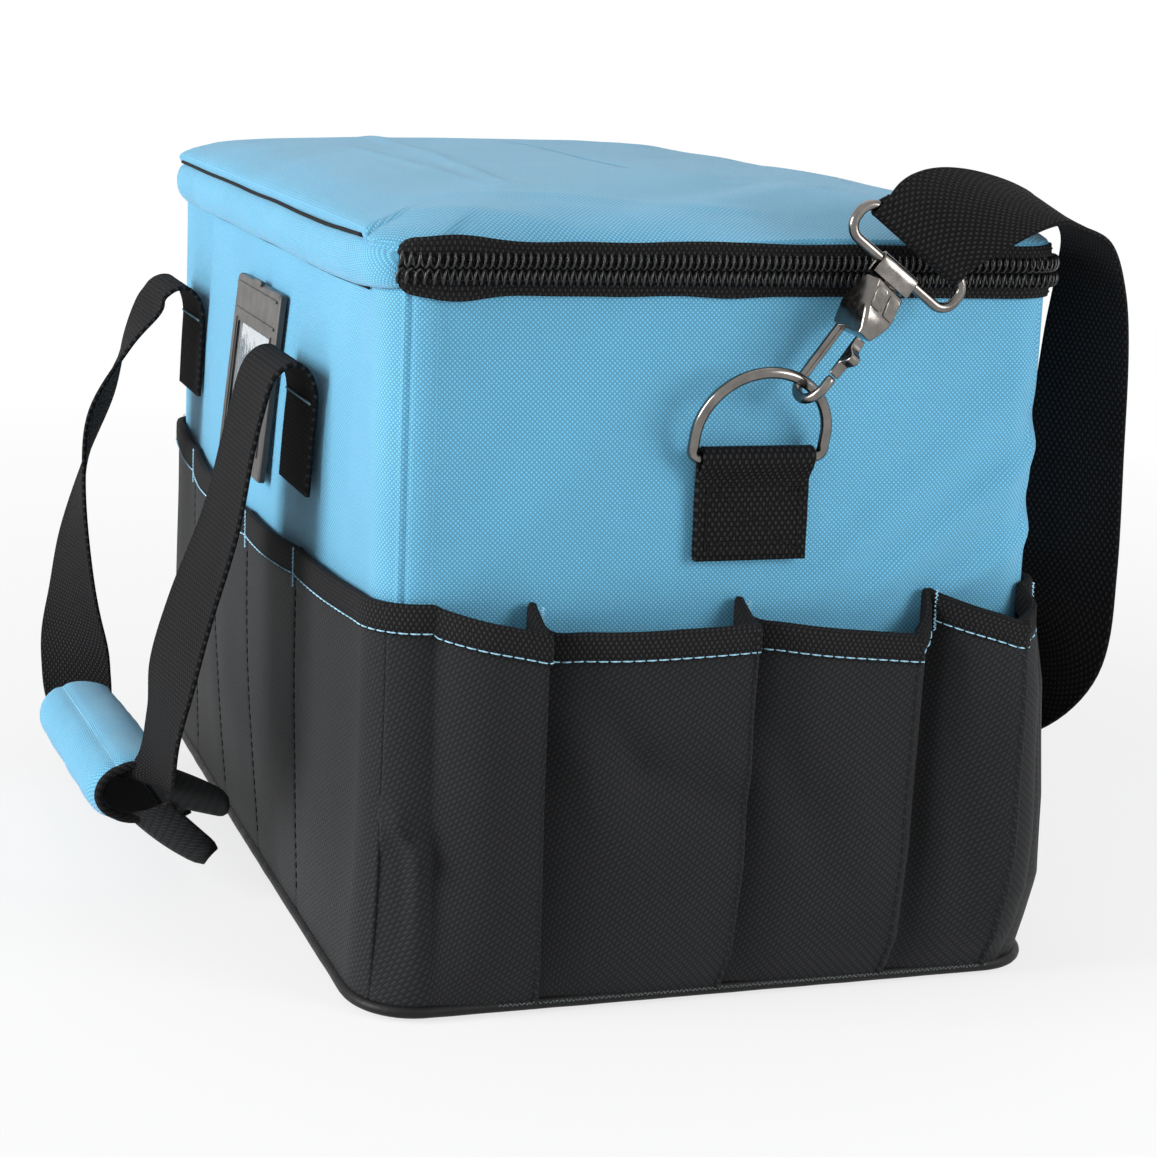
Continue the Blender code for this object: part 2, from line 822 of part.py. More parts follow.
def make_hook(name, way):
    seat, out, gate, across = hook_axes(way)
    flat = out.cross(gate)

    def at(u, v, w=0.0):
        return seat + out * u + gate * v + flat * w

    # the bow: a leg out of the housing, the bend round the ring and a short tip
    foot = housing_start - fit_gap
    bend = arc((bow_centre, 0), bow_radius, -math.pi / 2, -1.5 * math.pi, 2 * arc_steps)
    tip = bow_centre + bow_wire_radius * 2
    path = [(foot, -bow_radius)] + bend + [(tip, bow_radius)]
    bow = wire(f"{name}_hook_bow", [at(u, v) for u, v in path], bow_wire_radius, nickel)

    # the stamped housing, deep where the bow and gate leave it and wide at the strap's end
    housing_rings = []
    for share, v, w in housing_sections:
        u = housing_start + housing_length * share
        housing_rings.append([at(u, -v, -w), at(u, v, -w), at(u, v, w), at(u, -v, w)])
    housing = skin(f"{name}_hook_housing", housing_rings, nickel)
    barrel_rings = []
    for u in (housing_end + fit_gap, swivel_end):
        ring = arc((0, 0), barrel_radius, 0, 2 * math.pi, 12)[:-1]
        barrel_rings.append([at(u, v, w) for v, w in ring])
    barrel = skin(f"{name}_hook_swivel", barrel_rings, nickel)

    # the sprung gate, with its thumb tab
    half = gate_thickness / 2
    root = housing_start - 3 * fit_gap
    end = tip + fit_gap
    outline = [
        (root, bow_radius - half),
        (root, bow_radius + half),
        (root - gate_tab_length * 0.4, bow_radius + half),
        (root - gate_tab_length * 0.7, bow_radius + half + gate_tab_proud),
        (root - gate_tab_length, bow_radius + half + gate_tab_proud),
        (root - gate_tab_length * 1.1, bow_radius + half),
        (end, bow_radius + half),
        (end, bow_radius - half),
    ]
    frame = frame_of(seat, out, gate)
    leaf = plate(f"{name}_hook_gate", [outline], gate_width, frame, nickel)

    # the rounded wire loop that the strap is sewn round
    long, near_bar, far_bar = strap_loop_half, loop_start, loop_end
    corner = strap_loop_corner
    flat_points = arc((far_bar - corner, long - corner), corner, 0, math.pi / 2, 3)
    flat_points += arc((near_bar + corner, long - corner), corner, math.pi / 2, math.pi, 3)
    flat_points += arc((near_bar + corner, corner - long), corner, math.pi, 1.5 * math.pi, 3)
    flat_points += arc((far_bar - corner, corner - long), corner, 1.5 * math.pi, 2 * math.pi, 3)
    points = [seat + out * u + across * v for u, v in flat_points]
    wire(f"{name}_strap_loop", points, bow_wire_radius, nickel, cyclic=True)

    carry(pivot(f"{name}_swivel", at(housing_end, 0)), bow, housing, barrel)
    carry(pivot(f"{name}_gate_pin", at(root, bow_radius)), leaf)


# Webbing
def smooth_path(knots, steps):
    """Points and width ways on a smooth curve through (point, width way, width) knots."""
    made = []
    for i in range(len(knots) - 1):
        before = knots[max(i - 1, 0)]
        after = knots[min(i + 2, len(knots) - 1)]
        first, second = knots[i], knots[i + 1]
        for step in range(steps):
            t = step / steps
            weights = (
                (-t + 2 * t**2 - t**3) / 2,
                (2 - 5 * t**2 + 3 * t**3) / 2,
                (t + 4 * t**2 - 3 * t**3) / 2,
                (-(t**2) + t**3) / 2,
            )
            four = (before, first, second, after)
            point = sum((k[0] * w for k, w in zip(four, weights)), Vector())
            across = first[1].lerp(second[1], t).normalized()
            made.append((point, across, first[2] + (second[2] - first[2]) * t))
    made.append(knots[-1])
    return made


def webbing(name, knots, thickness, finish):
    """A flat strap along knots of (point, width way, width)."""
    rings = []
    for i, (point, across, width) in enumerate(knots):
        before = knots[max(i - 1, 0)][0]
        after = knots[min(i + 1, len(knots) - 1)][0]
        face = (after - before).cross(across).normalized()
        half, thin = across * width / 2, face * thickness / 2
        rings.append([point - half - thin, point + half - thin, point + half + thin, point - half + thin])
    return skin(name, rings, finish)


def sewn_end(way):
    """Knots of the strap's end round a hook's bar, up to where its free run starts."""
    seat, out, _, across = hook_axes(way)
    bar = seat + out * loop_end
    turn_radius = bow_wire_radius + fit_gap + strap_thickness / 2
    lean = near_strap_lean if way < 0 else far_strap_lean
    outward = Vector((0, way, 0))
    long = (out * math.cos(lean) + outward * math.sin(lean)) * turn_radius
    front = (outward * math.cos(lean) - out * math.sin(lean)) * turn_radius * -way
    sewn = (strap_thickness + fit_gap) / 2 / turn_radius
    turn = [math.radians(angle) for angle in range(-120, 121, 30)]
    route = [(tail, -sewn) for tail in (strap_tail_share, 2.2)]
    route += [(-math.cos(a), math.sin(a)) for a in turn]
    route += [(tail, sewn) for tail in (2.2, strap_tail_share)]
    return [(bar + long * u + front * v, across, strap_width) for u, v in route]


def strap_point(shares):
    """A point of the strap's route from its row of shares."""
    across_share, reach_share, along_share, up_share = shares
    x = body_width / 2 * across_share + strap_side_reach * reach_share
    return Vector((x, body_length / 2 * along_share, body_top * up_share))


def free_run(shares, ways):
    return [(strap_point(row), Vector(way), strap_width) for row, way in zip(shares, ways)]


def adjuster_weave():
    """Knots through the adjuster, over its middle bar, and the adjuster's placing matrix."""
    along = Vector(adjuster_run_way).normalized()
    across = Vector(adjuster_width_way)
    across = (across - along * across.dot(along)).normalized()
    face = along.cross(across)
    middle = strap_point(adjuster_shares)
    lift = adjuster_thickness + strap_thickness + 2 * fit_gap
    knots = []
    for share, raised in ((-1.1, 0), (-0.71, 0), (-0.14, 1), (0.14, 1), (0.71, 0), (1.1, 0)):
        spot = middle + along * adjuster_half_length * share + face * lift * raised
        knots.append((spot, across, strap_width))
    spot = middle + face * (strap_thickness / 2 + fit_gap + adjuster_thickness / 2)
    return knots, frame_of(spot, along, across)


def make_shoulder_strap():
    near_end = sewn_end(-1)
    far_end = sewn_end(1)
    weave, frame = adjuster_weave()
    first = near_end[:-1] + smooth_path([near_end[-1], *free_run(near_strap_shares, near_strap_ways)], 4)
    last = far_end[:-1] + smooth_path([far_end[-1], *free_run(far_strap_shares, far_strap_ways), weave[0]], 4)
    side = smooth_path([weave[-1], *free_run(side_strap_shares, side_strap_ways)], 4)
    last += weave[1:-1] + side
    webbing("shoulder_strap", first + last[::-1], strap_thickness, webbing_black)

    # the adjuster: a flat frame with a bar across its middle
    half_y, half_z = adjuster_half_length, adjuster_half_height
    outer = [(-half_y, -half_z), (half_y, -half_z), (half_y, half_z), (-half_y, half_z)]
    near_y, near_z = half_y - adjuster_bar, half_z - adjuster_bar
    windows = []
    for side in (-1, 1):
        edge = adjuster_bar / 2
        windows.append(
            [
                (side * edge, -near_z),
                (side * near_y, -near_z),
                (side * near_y, near_z),
                (side * edge, near_z),
            ]
        )
    plate("strap_adjuster", [outer, *windows], adjuster_thickness, frame, slider_black)


# Carry handles
def side_face(way, y, z):
    """X of a long side's face at y and z, with its bow."""
    share = y / straight_y
    return way * (body_width / 2 + side_bow * (1 - share**2) ** 2 * swell(z))


def make_anchor(name, way, y, reach):
    """The sewn end of a handle: flat on the wall, then over in an arch to the pivot."""
    half = handle_thickness / 2

    def wall(z):
        faces = [abs(side_face(way, y + side * handle_width / 2, z)) for side in (-1, 0, 1)]
        return max(faces) + fit_gap + half

    tip_x = body_width / 2 + reach
    rise = handle_crest - handle_width * 0.24
    across = Vector((0, 1, 0))
    knots = []
    for share in (0.0, 0.5, 1.0):
        z = handle_anchor_bottom + (rise - handle_anchor_bottom) * share
        knots.append((Vector((way * wall(z), y, z)), across, handle_width))
    base = wall(rise)
    span = tip_x - pivot_gap - base
    for angle in range(30, 91, 15):
        a = math.radians(angle)
        spot = Vector((way * (base + span * (1 - math.cos(a))), y, rise + (handle_crest - rise) * math.sin(a)))
        knots.append((spot, across, handle_width))
    webbing(name, knots, handle_thickness, webbing_black)


left_drop_shares = (
    ((0.24, 0.04), 1.0),
    ((0.42, 0.16), 1.0),
    ((0.66, 0.42), 1.0),
    ((0.84, 0.66), 0.9),
)
right_drop_shares = (
    ((0.70, 0.05), 1.0),
    ((1.0, 0.16), 1.0),
    ((1.0, 0.42), 1.0),
    ((1.0, 0.58), 1.0),
)


def make_left_handle():
    """The left handle: two legs that hang outward and twist into a level grip."""
    pivot_x = body_width / 2 + left_pivot_reach
    hang_x = body_width / 2 + left_hang_reach
    drop = handle_crest - handle_hang_height
    middle = (handle_near + handle_far) / 2
    half_grip = grip_length / 2
    legs = []
    for y, way in ((handle_near, -1), (handle_far, 1)):
        knots = [(Vector((-pivot_x, y, handle_crest)), Vector((0, way, 0)), handle_width)]
        for (out, fall), size in left_drop_shares:
            x = pivot_x + (hang_x - pivot_x) * out
            spot = Vector((-x, y, handle_crest - drop * fall))
            knots.append((spot, Vector((0, way, 0)), handle_width * size))
        width = handle_folded_width
        turned = Vector((-0.8, 0.6 * way, 0))
        inner = middle + way * half_grip
        spot = Vector((-hang_x, (y * 2 + inner) / 3, handle_hang_height + drop * 0.14))
        knots.append((spot, turned, width * 1.3))
        level = Vector((-1, 0, 0))
        knots.append((Vector((-hang_x, inner, handle_hang_height + fit_gap)), level, width))
        knots.append((Vector((-hang_x, middle + way * half_grip * 0.5, handle_hang_height)), level, width))
        legs.append(knots)
    path = smooth_path(legs[0], 3) + smooth_path(legs[1], 3)[::-1]
    strap = webbing("left_handle", path, handle_thickness, webbing_black)
    return strap, Vector((-pivot_x, middle, handle_crest))


def make_right_handle():
    """The right handle: it hangs flat against the pockets, under the shoulder strap."""
    pivot_x = body_width / 2 + right_pivot_reach
    hang_x = body_width / 2 + right_hang_reach
    drop = handle_crest - handle_hang_height
    middle = (handle_near + handle_far) / 2
    turn = handle_width * 0.72
    legs = []
    for y, way in ((handle_near, -1), (handle_far, 1)):
        knots = [(Vector((pivot_x, y, handle_crest)), Vector((0, way, 0)), handle_width)]
        for (out, fall), size in right_drop_shares:
            x = pivot_x + (hang_x - pivot_x) * out
            spot = Vector((x, y, handle_crest - drop * fall))
            knots.append((spot, Vector((0, way, 0)), handle_width * size))
        centre = (y - way * turn, handle_hang_height + turn)
        for angle in (0, 22.5, 45, 67.5):
            a = math.radians(angle)
            spot = (centre[0] + way * turn * math.cos(a), centre[1] - turn * math.sin(a))
            ways = Vector((0, way * math.cos(a), -math.sin(a)))
            knots.append((Vector((hang_x, *spot)), ways, handle_width * (1 - angle / 300)))
        spot = Vector((hang_x, y - way * turn * 1.2, handle_hang_height))
        knots.append((spot, Vector((0, 0, -1)), handle_width * 0.72))
        legs.append(knots)
    path = smooth_path(legs[0], 3) + smooth_path(legs[1], 3)[::-1]
    strap = webbing("right_handle", path, handle_thickness, webbing_black)
    return strap, Vector((pivot_x, middle, handle_crest))


# The padded wrap round the left handle's grip
grip_y = (handle_near + handle_far) / 2
grip_x = -body_width / 2 - left_hang_reach
grip_hinge_angle = math.radians(-48)
grip_lip_angle = math.radians(52)


def grip_oval(shrink, angle):
    """A point of the wrap's oval section, (x, z), drawn in by shrink."""
    return Vector(
        (
            grip_x + (grip_half_width - shrink) * math.cos(angle),
            0,
            handle_hang_height + (grip_half_height - shrink) * math.sin(angle),
        )
    )


def grip_piece(name, section, finish):
    """A piece of the wrap: its section drawn along the grip."""
    rings = []
    for along in (-0.5, -0.25, 0.0, 0.25, 0.5):
        y = grip_y + grip_length * along
        rings.append([Vector((p.x, y, p.z)) for p in section])
    return skin(name, rings, finish)


def make_grip():
    steps = 2 * arc_steps
    start, end = grip_lip_angle, 2 * math.pi + grip_hinge_angle
    angles = [start + (end - start) * i / steps for i in range(steps + 1)]
    outer = [grip_oval(0, a) for a in angles]
    inner = [grip_oval(grip_padding, a) for a in reversed(angles)]
    pad = grip_piece("grip_pad", outer + inner, canvas_blue)

    hinge = grip_oval(grip_padding / 2, grip_hinge_angle + math.radians(6))
    swing = Matrix.Rotation(flap_open, 3, "Y")
    first = grip_hinge_angle + math.radians(9)
    last = grip_lip_angle - math.radians(8)
    angles = [first + (last - first) * i / arc_steps for i in range(arc_steps + 1)]
    grow = -flap_thickness / 4
    outer = [grip_oval(grow, a) for a in angles]
    inner = [grip_oval(grow + flap_thickness, a) for a in reversed(angles)]
    section = [hinge + swing @ (p - hinge) for p in outer + inner]
    flap = grip_piece("grip_flap", section, piping_black)
    return pad, flap, Vector((hinge.x, grip_y, hinge.z))


# Label holder
def make_label_holder():
    """The moulded frame on the left side, with its clear window held in front of the wall."""
    y = label_centre
    low = Vector((side_face(-1, y, label_bottom), y, label_bottom))
    high = Vector((side_face(-1, y, label_bottom + label_height), y, label_bottom + label_height))
    middle = (low + high) / 2
    bulge = abs(side_face(-1, 0, middle.z) - middle.x)
    up = (high - low).normalized()
    out = Vector((-up.z, 0, up.x))
    spot = middle + out * (bulge + fit_gap + label_thickness / 2)
    frame = frame_of(spot, (0, -1, 0), up)
    half_w, half_h = label_width / 2, label_height / 2
    cut = label_border / 4
    outer = [
        (-half_w + cut, -half_h),
        (half_w - cut, -half_h),
        (half_w, -half_h + cut),
        (half_w, half_h - cut),
        (half_w - cut, half_h),
        (-half_w + cut, half_h),
        (-half_w, half_h - cut),
        (-half_w, -half_h + cut),
    ]
    in_w, floor, head = half_w - label_border, -half_h + label_border, half_h - label_header
    window = [(-in_w, floor), (in_w, floor), (in_w, head), (-in_w, head)]
    plate("label_frame", [outer, window], label_thickness, frame, slider_black)
    gap = fit_gap
    pane = [
        (-in_w + gap, floor + gap),
        (in_w - gap, floor + gap),
        (in_w - gap, head - gap),
        (-in_w + gap, head - gap),
    ]
    plate("label_window", [pane], label_window_thickness, frame, clear_vinyl)


clear_scene()
bag_parts = new_collection("tool_bag")
canvas_blue = material("blue_polyester_canvas", (0.14, 0.45, 0.67), 0.85)
pocket_black = material("black_twill_polyester", (0.035, 0.036, 0.038), 0.8)
webbing_black = material("black_webbing", (0.018, 0.018, 0.02), 0.75)
piping_black = material("black_vinyl_piping", (0.015, 0.015, 0.016), 0.35)
coil_black = material("black_nylon_coil", (0.012, 0.012, 0.013), 0.4)
slider_black = material("black_enamelled_metal", (0.02, 0.02, 0.022), 0.4)
lining_grey = material("grey_nylon_lining", (0.10, 0.10, 0.105), 0.8)
board_grey = material("grey_foam_board", (0.22, 0.22, 0.22), 0.9)
nickel = material("nickel_plated_steel", (0.46, 0.45, 0.43), 0.28, 1.0)
clear_vinyl = material("clear_vinyl", (0.80, 0.86, 0.90), 0.12)

make_base()
make_walls()
make_lining()
make_pockets("near_end", near(0), pleated_path)
make_pockets("far_end", far(0), pleated_path)
make_pockets("right", right(0), flat_path)
make_pockets("left", left(0), flat_path)
lid_parts = make_lid()
make_gusset()
zipper_parts = make_zipper()
lid_pivot = pivot("lid_hinge", Vector((-body_width / 2 - lid_open_pivot_out, 0, body_top)))
carry(lid_pivot, *lid_parts, *zipper_parts[2:])
make_sliders()
for end_name, end_way in (("near", -1), ("far", 1)):
    make_ring(end_name, end_way)
    make_hook(end_name, end_way)
make_shoulder_strap()
for side_name, side_way, pivot_reach in (
    ("left", -1, left_pivot_reach),
    ("right", 1, right_pivot_reach),
):
    make_anchor(f"{side_name}_near_anchor", side_way, handle_near, pivot_reach)
    make_anchor(f"{side_name}_far_anchor", side_way, handle_far, pivot_reach)
left_handle, left_pivot = make_left_handle()
right_handle, right_pivot = make_right_handle()
grip_pad, grip_flap, flap_pivot = make_grip()
carry(pivot("left_handle_pivot", left_pivot), left_handle, grip_pad)
carry(pivot("right_handle_pivot", right_pivot), right_handle)
carry(pivot("grip_flap_hinge", flap_pivot), grip_flap)
make_label_holder()
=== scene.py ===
"""Looks of the soft-sided tool bag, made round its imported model. Lengths are in metres.

X runs across the bag, Y along it, and the near short end faces -Y. The fabric, webbing, thread and
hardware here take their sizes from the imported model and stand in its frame.
"""

import math

import bpy
import numpy as np
from bpy.props import FloatProperty, FloatVectorProperty, PointerProperty
from bpy.types import Operator, Panel, PropertyGroup
from mathutils import Matrix, Vector, noise


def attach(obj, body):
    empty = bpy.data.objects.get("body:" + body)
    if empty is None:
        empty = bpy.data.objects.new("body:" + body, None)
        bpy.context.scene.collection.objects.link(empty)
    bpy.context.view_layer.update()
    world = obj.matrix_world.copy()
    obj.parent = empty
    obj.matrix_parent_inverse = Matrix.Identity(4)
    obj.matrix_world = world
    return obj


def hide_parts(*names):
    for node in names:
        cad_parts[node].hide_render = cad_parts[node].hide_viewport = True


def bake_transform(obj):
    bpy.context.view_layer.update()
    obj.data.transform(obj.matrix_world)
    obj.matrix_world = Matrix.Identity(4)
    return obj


bl_info = {
    "name": "Tool Bag",
    "version": (1, 0, 0),
    "blender": (4, 5, 0),
    "location": "3D View > Sidebar > Tool Bag",
    "description": "Builds the fabric, webbing, thread and hardware of a zipped tool bag",
    "category": "Object",
}

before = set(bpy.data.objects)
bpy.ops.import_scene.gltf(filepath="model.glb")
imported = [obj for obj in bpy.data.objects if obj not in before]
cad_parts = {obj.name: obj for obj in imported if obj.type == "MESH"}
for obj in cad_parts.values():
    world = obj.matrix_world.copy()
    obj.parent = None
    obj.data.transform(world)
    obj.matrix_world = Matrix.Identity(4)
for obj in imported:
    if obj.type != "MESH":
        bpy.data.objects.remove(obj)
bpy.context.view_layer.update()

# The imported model's sizes that the pieces below follow
body_width = 0.230
body_length = 0.370
rim_height = 0.2395
bow_height = 0.2280
corner_radius = 0.016
side_bow = 0.010
end_bow = 0.003
side_flare = 0.003
end_flare = 0.009
flare_height = 0.120
fit_gap = 0.0003
body_top = 0.2410
lid_bottom = 0.2413
zip_middle = 0.24115
straight_x = body_width / 2 - corner_radius
straight_y = body_length / 2 - corner_radius
corner_arc = corner_radius * math.pi / 2
outline_length = 4 * (straight_x + straight_y + corner_arc)

pocket_top = 0.135
pocket_bottom = 0.0042
pocket_fabric = 0.0012
pocket_seat = 0.0028
pleat_depth = 0.012
pleat_sag = 0.0075
flat_pocket_gape = 0.0009
end_pocket_seams = (-0.066, 0.004, 0.072, 0.1085)
side_pocket_seams = (-0.0975, -0.0325, 0.0325, 0.0975)
pleat_rise_shares = ((0.0, 0.12), (0.10, 0.50), (0.35, 0.80), (0.66, 0.92), (0.93, 1.0), (1.0, 1.0))
pleat_shares = ((0.07, 0.10), (0.22, 0.55), (0.45, 0.90), (0.78, 1.0))
# How far each end pocket's top hangs below its seams, at its start and at its end
pleat_sags = ((0.10, 1.0), (1.25, 0.85), (0.85, 1.65), (0.05, 1.20))
pleat_edge_shares = (
    (0.42, -0.10, 0.17),
    (-0.25, -0.10, 0.17),
    (-1.00, -0.13, -0.58),
    (-0.50, -0.40, -0.60),
)

cloth_map = "Cloth"
canvas_thickness = 0.0009


def linear(code):
    """An sRGB hex colour as linear red, green and blue."""
    parts = [int(code[i : i + 2], 16) / 255 for i in (1, 3, 5)]
    return tuple(c / 12.92 if c <= 0.04045 else ((c + 0.055) / 1.055) ** 2.4 for c in parts)


def colour_setting(name, description, code):
    return FloatVectorProperty(
        name=name,
        description=description,
        subtype="COLOR",
        size=3,
        min=0.0,
        max=1.0,
        default=linear(code),
    )


def length_setting(name, description, default, low):
    return FloatProperty(
        name=name, description=description, default=default, min=low, subtype="DISTANCE", unit="LENGTH"
    )


def power_setting(name, description, default):
    return FloatProperty(name=name, description=description, default=default, min=0.0, unit="POWER")


class ToolBagFabric(PropertyGroup):
    canvas: colour_setting("Canvas", "Blue polyester canvas of the walls and lid", "#74BFE1")
    pocket: colour_setting("Pockets", "Black polyester of the outside pockets", "#27282A")
    webbing: colour_setting("Webbing", "Black webbing of the strap, handles and bindings", "#1C1C1D")
    lining: colour_setting("Lining", "Grey nylon inside the bag", "#5B5D60")
    thread_pitch: length_setting(
        "Canvas thread spacing", "Distance between two threads of the canvas", 0.0008, 0.0002
    )
    wrinkle: FloatProperty(
        name="Wrinkles",
        description="How deep the canvas and pockets are creased, as a share of the sample",
        default=1.0,
        min=0.0,
        max=1.3,
        subtype="FACTOR",
    )


class ToolBagThread(PropertyGroup):
    contrast: colour_setting("Contrast thread", "Light blue topstitching of the pockets", "#A6D7EE")
    plain: colour_setting("Plain thread", "Black sewing thread", "#0F0F10")
    stitch_length: length_setting("Stitch length", "Length of one stitch of topstitching", 0.0034, 0.001)
    thread_radius: length_setting("Thread radius", "Radius of the sewing thread", 0.00026, 0.0001)


class ToolBagHardware(PropertyGroup):
    nickel: colour_setting("Nickel", "Nickel plating of the rings and hooks", "#7B7773")
    enamel: colour_setting("Enamel", "Black enamel of the sliders and the adjuster", "#1C1C1E")
    coil_pitch: length_setting("Zipper pitch", "Distance between two turns of a zipper coil", 0.0024, 0.001)


class ToolBagStudio(PropertyGroup):
    key: power_setting("Key lamp", "Power of the lamp at the bag's left", 42.0)
    front: power_setting("Front lamp", "Power of the lamp before the near end", 4.0)
    top: power_setting("Top lamp", "Power of the lamp above the lid", 4.0)
    fill: FloatProperty(
        name="Room light",
        description="Strength of the even light all round",
        default=0.36,
        min=0.0,
        max=2.0,
    )


# The body's shape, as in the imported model. A distance s runs round the outline, anticlockwise
# from above, from the middle of the near end.
bow_power = 1.5


def bow_share(share):
    """How much of a side's bow there is at a share of the way from its middle to an end."""
    return max(1 - share**2, 0.0) ** bow_power


def outline_frame(s):
    """The outline's point, its outward way and its bow at distance s."""
    s = (s + straight_x) % outline_length
    for turn in range(4):
        along, away = ((straight_x, straight_y), (straight_y, straight_x))[turn % 2]
        bow = (end_bow, side_bow)[turn % 2]
        spin = Matrix.Rotation(turn * math.pi / 2, 3, "Z")
        if s <= 2 * along:
            share = s / along - 1
            point = Vector((share * along, -away - corner_radius, 0))
            return spin @ point, spin @ Vector((0, -1, 0)), bow * bow_share(share)
        s -= 2 * along
        if s <= corner_arc or turn == 3:
            angle = s / corner_radius
            way = Vector((math.sin(angle), -math.cos(angle), 0))
            point = Vector((along, -away, 0)) + way * corner_radius
            return spin @ point, spin @ way, 0.0
        s -= corner_arc


zip_start = -straight_x - 0.55 * corner_arc
zip_end = 2 * (straight_x + corner_arc + straight_y) + straight_x + 0.55 * corner_arc


def swell(z):
    return math.sin(math.pi * min(max(z / bow_height, 0.0), 1.0))


def flare(way, z):
    rise = 1 - min(max(z / flare_height, 0.0), 1.0)
    return (side_flare * way.x**2 + end_flare * way.y**2) * rise**2


def body_point(s, out, z):
    """The point at distance s round the body, out from its fabric face, at height z."""
    point, way, bow = outline_frame(s)
    point = point + way * (out + bow * swell(z) + flare(way, z))
    return Vector((point.x, point.y, z))


def right(y):
    return straight_x + corner_arc + straight_y + y


def far(x):
    return 2 * (straight_x + corner_arc + straight_y) - x


def left(y):
    return 3 * straight_x + 3 * corner_arc + 3 * straight_y - y


def marks(start, end, step, corner_step):
    """Distances from start to end round the body, closer together at its corners."""
    made, s = [], start
    while s < end - corner_step / 2:
        made.append(s)
        place = (s + straight_x) % outline_length
        for along in (straight_x, straight_y, straight_x, straight_y):
            if place < 2 * along:
                s += min(step, max(2 * along - place, corner_step))
                break
            place -= 2 * along
            if place < corner_arc:
                s += corner_step
                break
            place -= corner_arc
        else:
            s += corner_step
    return [*made, end]


def between(table, share):
    """The value at a share in a table of (share, value) rows."""
    xs, ys = zip(*table)
    return float(np.interp(share, xs, ys))


def spline(rows, steps):
    """Rows of numbers on a smooth curve through the given rows."""
    rows = np.array(rows, float)
    padded = np.vstack([rows[0], rows, rows[-1]])
    made = []
    for i in range(len(rows) - 1):
        a, b, c, d = padded[i : i + 4]
        for step in range(steps):
            t = step / steps
            bend, swing = 2 * a - 5 * b + 4 * c - d, 3 * b - a - 3 * c + d
            made.append(0.5 * (2 * b + (c - a) * t + bend * t**2 + swing * t**3))
    made.append(rows[-1])
    return np.array(made)


def distances(points):
    """How far each point is along the line through them."""
    return np.concatenate([[0.0], np.cumsum(np.linalg.norm(np.diff(points, axis=0), axis=1))])


def uneven(x, y, z, size):
    """Smooth unevenness from -1 to 1, about size metres from bump to bump, the same each run."""
    return noise.noise(Vector((x / size, y / size, z / size)))


def near_line(x, y, folds):
    """The sum of folds at a place: rows of (x0, y0, x1, y1, half width, height)."""
    total = 0.0
    for x0, y0, x1, y1, width, height in folds:
        length = math.hypot(x1 - x0, y1 - y0)
        ax, ay = (x1 - x0) / length, (y1 - y0) / length
        along = (x - x0) * ax + (y - y0) * ay
        side = (x - x0) * -ay + (y - y0) * ax
        past = max(-along, along - length, 0.0)
        fade = math.exp(-((past / (2 * width)) ** 2))
        total += height * fade * math.exp(-((side / width) ** 2))
    return total


# Meshes
def grid_mesh(name, points, weave=None, closed=False, capped=False):
    """A mesh over rows of points, with its cloth map in metres. closed joins each row's ends."""
    points = np.array(points, float)
    rows, count = points.shape[:2]
    if weave is None:
        ring = np.concatenate([points, points[:, :1]], axis=1) if closed else points
        across = np.linalg.norm(np.diff(ring, axis=1), axis=2)
        up = np.linalg.norm(np.diff(ring, axis=0), axis=2)
        weave = np.zeros((rows, ring.shape[1], 2))
        weave[:, 1:, 0] = np.cumsum(across, axis=1)
        weave[1:, :, 1] = np.cumsum(up, axis=0)
    faces, corners = [], []
    for j in range(rows - 1):
        for i in range(count if closed else count - 1):
            k = (i + 1) % count
            faces.append((j * count + i, j * count + k, (j + 1) * count + k, (j + 1) * count + i))
            corners += [weave[j][i], weave[j][i + 1], weave[j + 1][i + 1], weave[j + 1][i]]
    if capped:
        faces.append(tuple(reversed(range(count))))
        corners += [weave[0][i] for i in reversed(range(count))]
        faces.append(tuple((rows - 1) * count + i for i in range(count)))
        corners += [weave[-1][i] for i in range(count)]
    mesh = bpy.data.meshes.new(name)
    mesh.from_pydata(points.reshape(-1, 3).tolist(), [], faces)
    mesh.uv_layers.new(name=cloth_map).data.foreach_set("uv", np.array(corners, float).ravel())
    mesh.shade_smooth()
    return mesh


def joined(name, meshes):
    """One mesh out of several."""
    points, faces, corners, start = [], [], [], 0
    for mesh in meshes:
        points += [v.co[:] for v in mesh.vertices]
        faces += [tuple(start + v for v in face.vertices) for face in mesh.polygons]
        corners += [tuple(corner.uv) for corner in mesh.uv_layers[cloth_map].data]
        start += len(mesh.vertices)
        bpy.data.meshes.remove(mesh)
    made = bpy.data.meshes.new(name)
    made.from_pydata(points, [], faces)
    made.uv_layers.new(name=cloth_map).data.foreach_set("uv", np.array(corners, float).ravel())
    made.shade_smooth()
    return made


